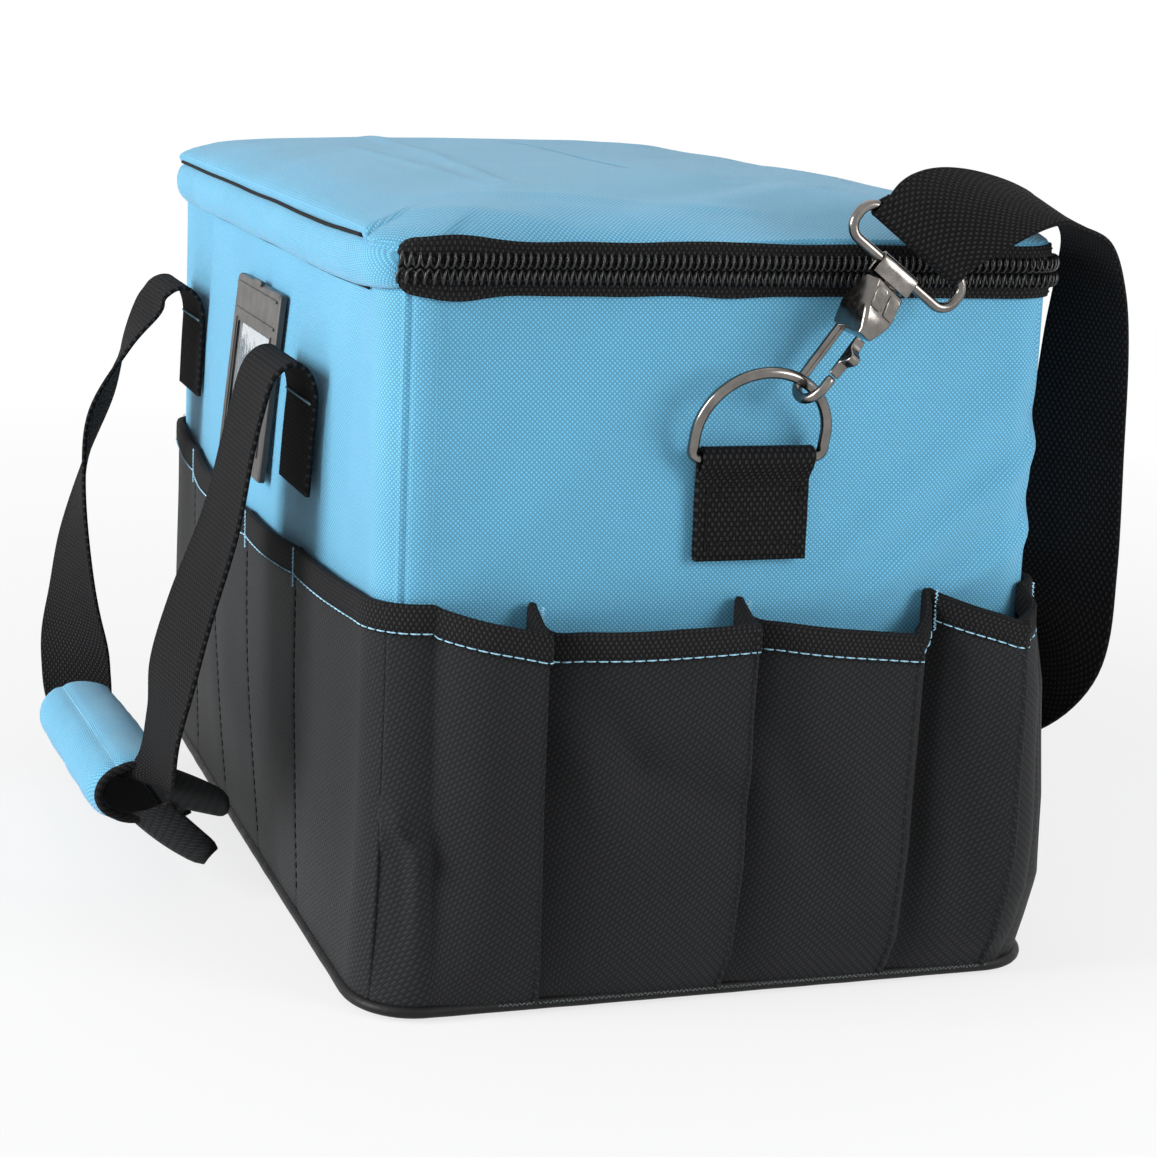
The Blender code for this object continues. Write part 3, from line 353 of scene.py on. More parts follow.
def tube_mesh(name, points, radius, sides=12, cyclic=False):
    """A round wire or rod along points; radius is one number or one for each point."""
    points = np.array([tuple(p) for p in points], float)
    count = len(points)
    radii = np.full(count, radius) if np.isscalar(radius) else np.array(radius, float)
    if cyclic:
        ways = np.roll(points, -1, axis=0) - np.roll(points, 1, axis=0)
    else:
        ways = np.gradient(points, axis=0)
    ways /= np.linalg.norm(ways, axis=1)[:, None]
    across = np.zeros_like(points)
    start = np.cross(ways[0], (0.0, 0.0, 1.0))
    if np.linalg.norm(start) < 0.1:
        start = np.cross(ways[0], (1.0, 0.0, 0.0))
    across[0] = start / np.linalg.norm(start)
    for i in range(1, count):
        moved = across[i - 1] - ways[i] * across[i - 1].dot(ways[i])
        across[i] = moved / np.linalg.norm(moved)
    twist = 0.0
    if cyclic:
        last = across[-1] - ways[0] * across[-1].dot(ways[0])
        twist = math.atan2(np.dot(np.cross(last, across[0]), ways[0]), last.dot(across[0]))
    rings = []
    for i in range(count):
        other = np.cross(ways[i], across[i])
        turn = twist * i / count
        angles = np.linspace(0, 2 * math.pi, sides, endpoint=False) + turn
        ring = np.outer(np.cos(angles), across[i]) + np.outer(np.sin(angles), other)
        rings.append(points[i] + radii[i] * ring)
    if cyclic:
        rings.append(rings[0])
    return grid_mesh(name, rings, closed=True, capped=not cyclic)


def ribbon_mesh(name, knots, thickness):
    """A woven strap along (point, width way, width) knots, with thick rounded selvedges."""
    half = [(-0.5, 0.0), (-0.492, 0.75), (-0.478, 1.15), (-0.455, 0.95), (-0.25, 1.0), (0.0, 1.0)]
    top = half + [(-u, h) for u, h in reversed(half[:-1])]
    section = top + [(u, -h) for u, h in reversed(top[1:-1])]
    places = np.array([tuple(k[0]) for k in knots], float)
    runs = np.gradient(places, axis=0)
    along = distances(places)
    rings, weave = [], []
    for i, (point, across, width) in enumerate(knots):
        across = Vector(across).normalized()
        face = Vector(runs[i]).cross(across).normalized()
        rings.append([Vector(point) + across * u * width + face * h * thickness / 2 for u, h in section])
        weave.append([(u * width, along[i]) for u, _ in section] + [(-0.5 * width, along[i])])
    return grid_mesh(name, rings, np.array(weave), closed=True, capped=True)


# A stitch's rings: share of its length, thickness and lift, both in radii of its thread
stitch_rings = ((0, 0.35, -0.6), (0.15, 0.9, 0.1), (0.5, 1.0, 0.5), (0.85, 0.9, 0.1), (1, 0.35, -0.6))
stitch_sink = 0.25


def stitch_mesh(name, line, length, gap, radius):
    """Stitches of thread along a line of (point, outward way) places on a surface."""
    points = np.array([tuple(p) for p, _ in line], float)
    ways = np.array([tuple(w) for _, w in line], float)
    along = distances(points)
    count = max(int(along[-1] / (length + gap)), 1)

    def at(place, rows):
        return np.array([np.interp(place, along, rows[:, k]) for k in range(3)])

    pieces = []
    for number in range(count):
        start = (number + 0.15) * along[-1] / count
        rings = []
        for share, size, lift in stitch_rings:
            spot = start + length * share
            way = at(spot, ways)
            run = at(spot + radius, points) - at(spot - radius, points)
            run /= max(np.linalg.norm(run), 1e-9)
            side = np.cross(run, way)
            side /= max(np.linalg.norm(side), 1e-9)
            middle = at(spot, points) + way * radius * (lift - stitch_sink)
            turns = np.arange(6) * math.pi / 3
            rings.append([middle + radius * size * (math.cos(a) * side + math.sin(a) * way) for a in turns])
        pieces.append(rings)
    return joined(name, [grid_mesh(name, rings, closed=True, capped=True) for rings in pieces])


def slab_mesh(name, outline, low, high, place):
    """A flat slab of an outline in a placing matrix's X and Y, from low to high along its Z."""
    lower = [place @ Vector((x, y, low)) for x, y in outline]
    upper = [place @ Vector((x, y, high)) for x, y in outline]
    mesh = grid_mesh(name, [lower, upper], closed=True, capped=True)
    mesh.set_sharp_from_angle(angle=math.radians(40))
    return mesh


def add_piece(mesh, key, body, replaced=()):
    """A piece of the bag, named as its mesh: its finish, the body it rides on, the nodes it stands for."""
    piece = bpy.data.objects.new(mesh.name, mesh)
    bpy.context.scene.collection.objects.link(piece)
    piece.data.materials.append(finish(key))
    if body:
        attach(piece, body)
    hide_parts(*replaced)
    return piece


def thicken(piece, thickness):
    """Gives a sheet of cloth its thickness, inward."""
    solid = piece.modifiers.new("Cloth thickness", "SOLIDIFY")
    solid.thickness = thickness
    solid.offset = -1.0
    return piece


def bevel(piece, width):
    """Rounds a piece's sharp edges."""
    rounded = piece.modifiers.new("Rounded edges", "BEVEL")
    rounded.width = width
    rounded.segments = 2
    rounded.limit_method = "ANGLE"
    rounded.angle_limit = math.radians(40)
    rounded.harden_normals = False


# Materials
def add_node(tree, kind, sockets=None, **settings):
    """Adds a shader node; sockets maps its inputs to values or to other nodes' outputs."""
    made = tree.nodes.new(kind)
    for key, value in settings.items():
        setattr(made, key, value)
    for key, value in (sockets or {}).items():
        if isinstance(value, bpy.types.NodeSocket):
            tree.links.new(value, made.inputs[key])
        else:
            made.inputs[key].default_value = value
    return made


def new_finish(name, **sockets):
    """An empty material with its shader; sockets are the shader's constant values."""
    made = bpy.data.materials.get(name)
    if made:
        bpy.data.materials.remove(made)
    made = bpy.data.materials.new(name)
    made.use_nodes = True
    tree = made.node_tree
    shader = tree.nodes["Principled BSDF"]
    for key, value in sockets.items():
        shader.inputs[key.replace("_", " ")].default_value = value
    return made, tree, shader


def computed(tree, operation, *values, kind="ShaderNodeMath", **settings):
    """The result of one operation on values or on other nodes' outputs."""
    return add_node(tree, kind, dict(enumerate(values)), operation=operation, **settings).outputs[0]


def ranged(tree, value, low_in, high_in, low, high):
    """A value brought from one range to another, and held in it."""
    sockets = {"Value": value, "From Min": low_in, "From Max": high_in, "To Min": low, "To Max": high}
    return add_node(tree, "ShaderNodeMapRange", sockets).outputs["Result"]


def weave_relief(tree, across, along, turned):
    """Plain weave, turned by an angle: a height from 0 to 1, and which thread is on top."""
    place = add_node(tree, "ShaderNodeUVMap", uv_map=cloth_map).outputs["UV"]
    if turned:
        sockets = {"Vector": place, "Angle": turned}
        place = add_node(tree, "ShaderNodeVectorRotate", sockets, rotation_type="Z_AXIS").outputs["Vector"]
    turns = (math.pi / across, math.pi / along, 0.0)
    scaled = computed(tree, "MULTIPLY", place, turns, kind="ShaderNodeVectorMath")
    waves = computed(tree, "SINE", scaled, kind="ShaderNodeVectorMath")
    parts = add_node(tree, "ShaderNodeSeparateXYZ", {0: waves}).outputs
    crossing = computed(tree, "MULTIPLY", parts[0], parts[1])
    return computed(tree, "POWER", computed(tree, "ABSOLUTE", crossing), 0.5), crossing


def cloudy(tree, size, low, high):
    """Slow variation over a surface, size metres from patch to patch, between low and high."""
    place = add_node(tree, "ShaderNodeTexCoord").outputs["Object"]
    cloud = add_node(tree, "ShaderNodeTexNoise", {"Vector": place, "Scale": 1 / size, "Detail": 3.0})
    return ranged(tree, cloud.outputs["Fac"], 0.3, 0.7, low, high)


def shaded(tree, colour, *factors):
    """A colour multiplied by some numbers."""
    result = colour
    for factor in factors:
        made = add_node(tree, "ShaderNodeVectorMath", {0: result, "Scale": factor}, operation="SCALE")
        result = made.outputs[0]
    return result


def tint(tree, shader, colour, *factors):
    """Gives the shader a colour that is multiplied by some varying factors."""
    base = add_node(tree, "ShaderNodeRGB").outputs[0]
    base.default_value = (*colour, 1.0)
    tree.links.new(shaded(tree, base, *factors), shader.inputs["Base Color"])


def emboss(tree, shader, height, depth, strength):
    """Gives the shader a relief, from a height between 0 and 1 and its depth in metres."""
    bump = add_node(tree, "ShaderNodeBump", {"Height": height, "Distance": depth, "Strength": strength})
    tree.links.new(bump.outputs["Normal"], shader.inputs["Normal"])


def scaled_colour(colour, share):
    return tuple(c * share for c in colour)


def woven(name, gap_shade, thread, across, along, depth, patches, contrast, turned=0.0, **sockets):
    """A woven cloth: its threads' colour, its gaps' darker colour as painted shade, thread spacings,
    relief, and the contrast of painted light and shade between the two ways of thread.
    """
    made, tree, shader = new_finish(name, **sockets)
    height, crossing = weave_relief(tree, across, along, turned)
    # the mix node's colours are its inputs 6 and 7, and its mixed colour is output 2
    # the gaps between the threads are painted darker, as shade
    blend = {"Factor": height, 6: (*gap_shade, 1.0), 7: (*thread, 1.0)}
    colour = add_node(tree, "ShaderNodeMix", blend, data_type="RGBA").outputs[2]
    # painted highlight and shade: where one way of thread lies on top it is painted lighter, where the
    # other does it is painted darker
    painted_glint = ranged(tree, crossing, -0.7, 0.7, 1 - contrast, 1 + contrast)
    patchy = shaded(tree, colour, painted_glint, cloudy(tree, 0.06, 1 - patches, 1 + patches))
    tree.links.new(patchy, shader.inputs["Base Color"])
    emboss(tree, shader, height, depth, 1.0)
    return made


def canvas_finish(name):
    """Polyester canvas, plain woven from thick flat yarn and coated at the back.

    It gives the eye staggered bright dots, painted highlights, one where each yarn comes to the top,
    painted shade in the gaps between the yarns, and a pale veil of sheen at grazing angles.
    """
    fabric = bpy.context.scene.tool_bag_fabric
    thread = tuple(fabric.canvas)
    return woven(
        name,
        # the gaps' colour: the canvas darkened, as painted shade between the yarns
        tuple(c * share for c, share in zip(thread, (0.42, 0.62, 0.72))),
        thread,
        fabric.thread_pitch,
        fabric.thread_pitch,
        depth=0.00018,
        patches=0.05,
        contrast=0.30,
        Roughness=0.7,
        Specular_IOR_Level=0.3,
        Sheen_Weight=0.30,
        Sheen_Roughness=0.4,
    )


def pocket_finish(name):
    """Black polyester canvas: its long floats run aslant over it, with painted grey highlights on them and
    painted shade in the gaps between them.
    """
    fabric = bpy.context.scene.tool_bag_fabric
    thread = tuple(fabric.pocket)
    return woven(
        name,
        # the gaps' colour, darkened as painted shade between the floats
        scaled_colour(thread, 0.35),
        thread,
        fabric.thread_pitch,
        fabric.thread_pitch * 2.6,
        depth=0.00016,
        patches=0.08,
        contrast=0.45,
        turned=math.radians(40),
        Roughness=0.65,
        Specular_IOR_Level=0.15,
        Sheen_Weight=0.08,
        Sheen_Roughness=0.35,
    )


def webbing_finish(name):
    """Polypropylene webbing, heavily woven: thick yarns in staggered rows, with hardly any gloss; their
    tops are painted lighter as highlights and the gaps between them painted darker as shade.
    """
    thread = tuple(bpy.context.scene.tool_bag_fabric.webbing)
    return woven(
        name,
        # the gaps darkened as painted shade, and next the yarns' tops lightened as painted highlights
        scaled_colour(thread, 0.25),
        scaled_colour(thread, 1.8),
        0.0011,
        0.0016,
        depth=0.00030,
        patches=0.10,
        contrast=0.60,
        Roughness=0.85,
        Specular_IOR_Level=0.07,
    )


def tape_finish(name):
    """Woven tape of the bindings and the zipper, finer than the webbing, with painted highlights on its
    threads and painted shade in its gaps.
    """
    thread = tuple(bpy.context.scene.tool_bag_fabric.webbing)
    return woven(
        name,
        # the gaps darkened as painted shade, and next the threads' tops lightened as painted highlights
        scaled_colour(thread, 0.35),
        scaled_colour(thread, 2.0),
        0.0009,
        0.0014,
        depth=0.00020,
        patches=0.10,
        contrast=0.6,
        Roughness=0.8,
        Specular_IOR_Level=0.10,
    )


def lining_finish(name):
    """Nylon lining, woven too finely to show, so its relief is drawn coarse, at 2 mm."""
    made, tree, shader = new_finish(name, Roughness=0.6, Sheen_Weight=0.1)
    colour = bpy.context.scene.tool_bag_fabric.lining
    tint(tree, shader, colour, cloudy(tree, 0.05, 0.9, 1.1), cloudy(tree, 0.002, 0.92, 1.08))
    emboss(tree, shader, cloudy(tree, 0.012, 0.0, 1.0), 0.0006, 0.5)
    return made


def mottled(name, colour, size, low, high, relief_size, depth, rough_low, rough_high, **sockets):
    """A solid material: its colour with patches, fine relief, and gloss that varies a little."""
    made, tree, shader = new_finish(name, **sockets)
    tint(tree, shader, colour, cloudy(tree, size, low, high))
    tree.links.new(cloudy(tree, size / 3, rough_low, rough_high), shader.inputs["Roughness"])
    emboss(tree, shader, cloudy(tree, relief_size, 0.0, 1.0), depth, 0.6)
    return made


def foam_finish(name):
    """Grey polyethylene foam board: small closed cells, about 1 mm, and no gloss."""
    return mottled(name, linear("#77797B"), 0.03, 0.92, 1.06, 0.001, 0.0002, 0.85, 0.95)


def vinyl_finish(name):
    """Black vinyl over cord, extruded: smooth, with a dull broad sheen."""
    black = linear("#0E0E0F")
    return mottled(name, black, 0.01, 0.85, 1.15, 0.002, 0.0001, 0.45, 0.6, Specular_IOR_Level=0.25)


def coil_finish(name):
    """Nylon monofilament of the zipper coil: smooth black that glints on each turn."""
    return mottled(name, linear("#17181A"), 0.01, 0.9, 1.2, 0.002, 0.00003, 0.22, 0.34)


def enamel_finish(name):
    """Black enamel baked on a die-cast part, a little greyer in small patches."""
    enamel = bpy.context.scene.tool_bag_hardware.enamel
    return mottled(name, enamel, 0.004, 0.85, 1.4, 0.0006, 0.00003, 0.3, 0.45)


def moulded_finish(name):
    """Black nylon, injection moulded with a fine spark-eroded grain of about 0.4 mm."""
    return mottled(name, linear("#3A3836"), 0.02, 0.85, 1.2, 0.0004, 0.00005, 0.34, 0.46)


def nickel_finish(name):
    """Nickel plating on formed steel wire and sheet: bright, with a warm tint and soft patches."""
    nickel = bpy.context.scene.tool_bag_hardware.nickel
    return mottled(name, nickel, 0.006, 0.75, 1.1, 0.004, 0.00002, 0.14, 0.26, Metallic=1.0)


def window_finish(name):
    """Clear vinyl sheet, calendered: glossy, a little milky and faintly wavy."""
    made, tree, shader = new_finish(
        name,
        Base_Color=(*linear("#F2F7FA"), 1.0),
        Roughness=0.06,
        IOR=1.52,
        Transmission_Weight=0.75,
        Coat_Weight=0.6,
        Coat_Roughness=0.04,
    )
    emboss(tree, shader, cloudy(tree, 0.02, 0.0, 1.0), 0.0006, 0.6)
    return made


def thread_finish(name, colour):
    """Bonded polyester thread, nearly matt: the light and shade of its twist is painted coarse, as lighter
    and darker bands about 2 mm apart.
    """
    made, tree, shader = new_finish(name, Roughness=0.7, Specular_IOR_Level=0.2)
    place = add_node(tree, "ShaderNodeTexCoord").outputs["Object"]
    painted_twist_shade = add_node(tree, "ShaderNodeTexWave", {"Vector": place, "Scale": 160.0, "Distortion": 1.5})
    # lighter and darker bands of painted light and shade, for the twist of the plies
    tint(tree, shader, colour, ranged(tree, painted_twist_shade.outputs["Fac"], 0.0, 1.0, 0.75, 1.1))
    return made


def blue_thread_finish(name):
    """The contrast thread of the topstitching and bartacks."""
    return thread_finish(name, bpy.context.scene.tool_bag_thread.contrast)


def pale_thread_finish(name):
    """The grey thread of the base seam."""
    return thread_finish(name, linear("#6E7476"))


def black_thread_finish(name):
    """The plain thread of the webbing, the zipper and the flat pockets' seams."""
    return thread_finish(name, bpy.context.scene.tool_bag_thread.plain)


finishes = {
    "canvas": ("polyester_canvas_plain_woven_blue", canvas_finish),
    "pocket": ("polyester_canvas_plain_woven_black", pocket_finish),
    "webbing": ("polypropylene_webbing_woven_black", webbing_finish),
    "tape": ("polyester_tape_woven_black", tape_finish),
    "lining": ("nylon_lining_woven_grey", lining_finish),
    "foam": ("polyethylene_foam_board_grey", foam_finish),
    "vinyl": ("vinyl_piping_extruded_black", vinyl_finish),
    "coil": ("nylon_monofilament_coil_black", coil_finish),
    "enamel": ("baked_enamel_on_zinc_black", enamel_finish),
    "moulded": ("nylon_injection_moulded_black", moulded_finish),
    "nickel": ("nickel_plate_on_steel", nickel_finish),
    "window": ("vinyl_sheet_clear", window_finish),
    "blue thread": ("bonded_polyester_thread_light_blue", blue_thread_finish),
    "pale thread": ("bonded_polyester_thread_pale_grey", pale_thread_finish),
    "black thread": ("bonded_polyester_thread_black", black_thread_finish),
}


def finish(key):
    """The material of that key, made once."""
    name, make = finishes[key]
    return bpy.data.materials.get(name) or make(name)


def dress(node, key, width=0.0):
    """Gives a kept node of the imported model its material, and rounds its edges if asked."""
    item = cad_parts[node]
    item.data.materials.clear()
    item.data.materials.append(finish(key))
    if width:
        bevel(item, width)


def sew(name, lines, key, body, length=None, gap=0.0005, radius=None):
    """Rows of stitches, each along a line of (point, outward way) places on a surface."""
    threads = bpy.context.scene.tool_bag_thread
    length, radius = length or threads.stitch_length, radius or threads.thread_radius
    rows = [stitch_mesh("row", line, length, gap, radius) for line in lines]
    return add_piece(joined(name, rows), key, body)


# Walls
corner_seam = straight_x + 0.42 * corner_arc
near_face_folds = (
    (0.050, 0.142, 0.112, 0.190, 0.0050, 0.0009),
    (0.058, 0.140, 0.113, 0.181, 0.0045, -0.0017),
    (0.072, 0.136, 0.113, 0.162, 0.0045, 0.0009),
    (0.080, 0.134, 0.113, 0.152, 0.0040, -0.0014),
    (0.030, 0.150, 0.085, 0.205, 0.0080, 0.0007),
    (0.036, 0.140, 0.100, 0.202, 0.0060, -0.0012),
    (-0.080, 0.150, -0.040, 0.200, 0.0100, -0.0009),
    (-0.104, 0.226, -0.070, 0.196, 0.0055, 0.0007),
    (-0.095, 0.231, -0.050, 0.214, 0.0050, 0.0005),
    (0.030, 0.176, 0.052, 0.150, 0.0060, 0.0004),
)
side_face_folds = (
    (0.112, 0.236, 0.118, 0.150, 0.0070, 0.0009),
    (-0.128, 0.140, -0.150, 0.232, 0.0090, 0.0007),
    (-0.075, 0.150, -0.066, 0.205, 0.0070, 0.0006),
    (0.060, 0.142, 0.090, 0.160, 0.0060, 0.0005),
)


relief_out, relief_in = 0.0014, 0.0011


def wall_relief(s, z):
    """How far the wall's canvas stands out, or sinks where that is below zero."""
    wrinkle = bpy.context.scene.tool_bag_fabric.wrinkle
    place = (s + straight_x) % outline_length
    x = place - straight_x
    sink = 0.00030 + 0.00030 * uneven(s, z * 1.6, 0.0, 0.055) + 0.00010 * uneven(s, z, 1.0, 0.018)
    if x < straight_x + corner_arc:
        sink += near_line(x, z, near_face_folds)
    y = left(0) - s % outline_length
    sink += near_line(y, z, side_face_folds)
    y = s % outline_length - right(0)
    sink += near_line(-y, z, side_face_folds)
    out = -max(min(sink * wrinkle, relief_in), -relief_out)
    for middle in (-corner_seam, corner_seam, far(corner_seam), far(-corner_seam)):
        away = (s - middle + outline_length / 2) % outline_length - outline_length / 2
        out += 0.00055 * math.exp(-((away / 0.0008) ** 2))
        out -= 0.00060 * math.exp(-(((away - 0.0018) / 0.0009) ** 2))
    return max(min(out, relief_out), -relief_in)


class TOOLBAG_OT_walls(Operator):
    """Builds the canvas walls with their corner seams, and dresses the rim, boards and lining"""

    bl_idname = "tool_bag.walls"
    bl_label = "Walls and lining"

    def execute(self, context):
        columns = marks(-straight_x, outline_length - straight_x, 0.003, 0.0007)[:-1]
        levels = list(np.linspace(0.0018, 0.122, 16)) + list(np.linspace(0.1245, rim_height, 54))
        rows = [[body_point(s, wall_relief(s, z), z) for s in columns] for z in levels]
        weave = [[(s, z) for s in [*columns, outline_length - straight_x]] for z in levels]
        mesh = grid_mesh("body_canvas", rows, np.array(weave), closed=True)
        walls = add_piece(mesh, "canvas", "bag", ["body_shell"])
        thicken(walls, canvas_thickness)
        dress("lining", "lining")
        dress("rim_binding", "vinyl")
        for board in ("near_end_board", "right_board", "far_end_board", "left_board", "base_board"):
            dress(board, "foam")
        return {"FINISHED"}


class TOOLBAG_OT_base(Operator):
    """Builds the piping round the base with its stitching, and dresses the sole"""

    bl_idname = "tool_bag.base"
    bl_label = "Base and piping"

    def execute(self, context):
        dress("base_panel", "vinyl", 0.0004)
        columns = marks(-straight_x, outline_length - straight_x, 0.004, 0.0016)[:-1]
        points, radii = [], []
        for s in columns:
            pucker = uneven(s, 0.0, 5.0, 0.012)
            points.append(body_point(s, 0.0026, 0.0032))
            radii.append(0.0020 + 0.00012 * pucker)
        mesh = tube_mesh("base_piping_cord", points, radii, 14, cyclic=True)
        add_piece(mesh, "vinyl", "bag", ["base_piping"])
        lines = []
        for middle in (0.0, far(0)):
            places = [(middle - 0.076 + i * 0.0008, 0.0036 + 0.0009 * (i % 2)) for i in range(220)]
            lines.append([(body_point(s, 0.0048, up), outline_frame(s)[1]) for s, up in places])
        sew("base_seam_stitches", lines, "pale thread", "bag", 0.0015, 0.0002, 0.00020)
        return {"FINISHED"}


# Outside pockets
def panel_ends(straight):
    """Where a row of pockets ends at a corner, from its end inward."""
    end = straight + corner_arc / 2
    return [end, straight + corner_arc / 4, straight]


def pleated_path(rise):
    """(s, out, sag) points of an end's pockets, for a share of their full depth."""
    depth = pleat_depth * rise
    path = [(-s, pocket_seat, 0.0) for s in panel_ends(straight_x)]
    start = -straight_x
    for top_seam, (lean, low_edge, high_edge), (low, high) in zip(
        end_pocket_seams, pleat_edge_shares, pleat_sags
    ):
        seam = top_seam + pleat_depth * lean * (1 - rise)
        edge = seam + pleat_depth * (low_edge + (high_edge - low_edge) * rise)
        for along, out in pleat_shares:
            sag = low + (high - low) * along
            path.append((start + (edge - start) * along, pocket_seat + depth * out, sag))
        path.append((edge - 0.0012, pocket_seat + depth, high))
        path.append((edge, pocket_seat + depth * 0.97, high))
        path.append((edge - 0.0006, pocket_seat + depth * 0.86, high * 0.95))
        path.append((seam + (edge - seam) * 0.3, pocket_seat + depth * 0.45, high * 0.55))
        path.append((seam, pocket_seat, 0.0))
        start = seam
    path.append((panel_ends(straight_x)[0], pocket_seat, 0.0))
    return path


def flat_path(rise):
    """(s, out, sag) points of a side's pockets, from 0 at its middle."""
    ends = panel_ends(straight_y)
    seams = [-straight_y, *side_pocket_seams, straight_y]
    path = [(-s, pocket_seat, 0.0) for s in ends[:-1]]
    for start, stop in zip(seams, seams[1:]):
        path.append((start, pocket_seat - 0.0003, 0.0))
        for along in (0.05, 0.25, 0.5, 0.75, 0.95):
            gape = math.sin(math.pi * along)
            out = pocket_seat + flat_pocket_gape * rise * gape
            path.append((start + (stop - start) * along, out, gape * 0.1))
    path += [(s, pocket_seat, 0.0) for s in reversed(ends)]
    return path


# Folds of the near end's pockets: (x0, z0, x1, z1, half width, how far they stand out)
end_pocket_folds = (
    (-0.113, 0.069, -0.106, 0.064, 0.0022, 0.0022),
    (-0.106, 0.064, -0.1015, 0.054, 0.0022, 0.0026),
    (-0.1015, 0.054, -0.1005, 0.006, 0.0024, 0.0026),
    (-0.1075, 0.050, -0.1075, 0.010, 0.0036, -0.0030),
    (-0.052, 0.116, -0.030, 0.084, 0.0045, -0.0044),
    (-0.030, 0.084, -0.008, 0.072, 0.0065, -0.0026),
    (-0.056, 0.100, -0.036, 0.058, 0.0070, 0.0026),
    (-0.020, 0.100, 0.000, 0.084, 0.0070, 0.0016),
    (0.012, 0.105, 0.030, 0.060, 0.0080, -0.0022),
    (0.040, 0.110, 0.050, 0.050, 0.0090, 0.0014),
    (0.082, 0.100, 0.088, 0.030, 0.0060, -0.0018),
    (-0.085, 0.100, -0.080, 0.030, 0.0080, 0.0012),
)


# How far the near right corner of the sample stands out at heights, below its pockets' tops
corner_bulge_heights = (
    (0.000, 0.0),
    (0.006, 0.0),
    (0.018, 0.0040),
    (0.032, 0.0080),
    (0.060, 0.0086),
    (0.100, 0.0070),
    (0.125, 0.0025),
    (0.135, 0.0),
)


def corner_bulge(s, z):
    away = s - (straight_x + corner_arc / 2)
    return between(corner_bulge_heights, z) * math.exp(-((away / 0.020) ** 2))


def pocket_points(path_of, middle, shares, folds=()):
    """Points of a row of pockets at shares of its height, with the outward way of each column."""
    rows = []
    wrinkle = bpy.context.scene.tool_bag_fabric.wrinkle
    for share in shares:
        rise = between(pleat_rise_shares, share)
        path = spline(path_of(rise), 5)
        row = []
        for s, out, sag in path:
            top = pocket_top - pleat_sag * max(sag, 0.0)
            z = pocket_bottom + (top - pocket_bottom) * share
            ease = math.sin(math.pi * min(share * 1.15, 1.0)) * wrinkle
            out += ease * near_line(s, z, folds)
            out += ease * 0.0007 * uneven(middle + s, z * 0.7, 2.0, 0.03)
            out += corner_bulge(middle + s, z)
            row.append(body_point(middle + s, max(out, 0.0016), z))
        rows.append(row)
    return np.array(rows)


def outward(row, first, last):
    """The level outward way at each point of a row, with those of its two ends."""
    runs = np.gradient(row, axis=0)
    ways = np.stack([runs[:, 1], -runs[:, 0], np.zeros(len(row))], axis=1)
    ways[0], ways[-1] = tuple(first), tuple(last)
    return ways / np.linalg.norm(ways, axis=1)[:, None]


# The binding's section: how far out from the pocket's face, and how far below its top
binding_section = (
    (0.0002, -0.0094),
    (0.0011, -0.0091),
    (0.0012, -0.0048),
    (0.0011, -0.0006),
    (0.0006, 0.0006),
    (-0.0006, 0.0009),
    (-0.0018, 0.0006),
    (-0.0023, -0.0006),
    (-0.0023, -0.0091),
)


def bartack(line_point, way, run, height, width):
    """A tight zigzag of thread on a surface, from its top down."""
    step = 0.0007
    places = []
    for i in range(int(height / step) + 1):
        side = run * (width * (0.5 if i % 2 else -0.5))
        places.append((line_point + side - Vector((0, 0, i * step)), way))
    return places


def make_pocket_row(side, middle, path_of, seams, folds):
    """One row of pockets: its cloth, binding, topstitching, bartacks and seams."""
    shares = [0.0, 0.012, 0.03, 0.06, 0.10, *np.linspace(0.14, 1.0, 34)]
    points = pocket_points(path_of, middle, shares, folds)
    top = points[-1]
    weave = np.stack([np.broadcast_to(distances(top), points.shape[:2]), points[:, :, 2]], axis=2)
    mesh = grid_mesh(f"{side}_pocket_cloth", points, weave)
    cloth = add_piece(mesh, "pocket", "bag", [f"{side}_pockets"])
    thicken(cloth, pocket_fabric)

    # the binding over the top edge, and its topstitching
    path = spline(path_of(1.0), 5)
    first, last = (outline_frame(middle + path[k][0])[1] for k in (0, -1))
    ways = outward(top, first, last)
    rows = [top + ways * out + np.array((0, 0, up)) for out, up in binding_section]
    mesh = grid_mesh(f"{side}_binding_tape", rows)
    add_piece(mesh, "tape", "bag", [f"{side}_binding"])
    line = [(Vector(p + w * 0.0013 - np.array((0, 0, 0.0083))), Vector(w)) for p, w in zip(top, ways)]
    sew(f"{side}_topstitch", [line], "blue thread", "bag")

    # a bartack at the head of each seam, and on the flat rows a line of black stitches below it
    tacks, downs = [], []
    pleated = path_of is pleated_path
    for seam in seams:
        index = int(np.argmin([abs(s - seam) + 5 * (out - pocket_seat) for s, out, _ in path]))
        way = outline_frame(middle + seam)[1]
        run = Vector((-way.y, way.x, 0))
        stand = 0.0030 if pleated else 0.0015
        start = Vector(top[index]) + way * stand + run * (stand - 0.0015) + Vector((0, 0, 0.0010))
        tacks.append(bartack(start, way, run, 0.0145, 0.0012))
        down = Vector(ways[index])
        downs.append([(Vector(p) + down * 0.0002, down) for p in points[3:-4, index]])
    sew(f"{side}_bartacks", tacks, "blue thread", "bag", 0.0013, 0.0001)
    if not pleated:
        sew(f"{side}_pocket_seams", downs, "black thread", "bag", 0.0026, 0.0010, 0.00028)


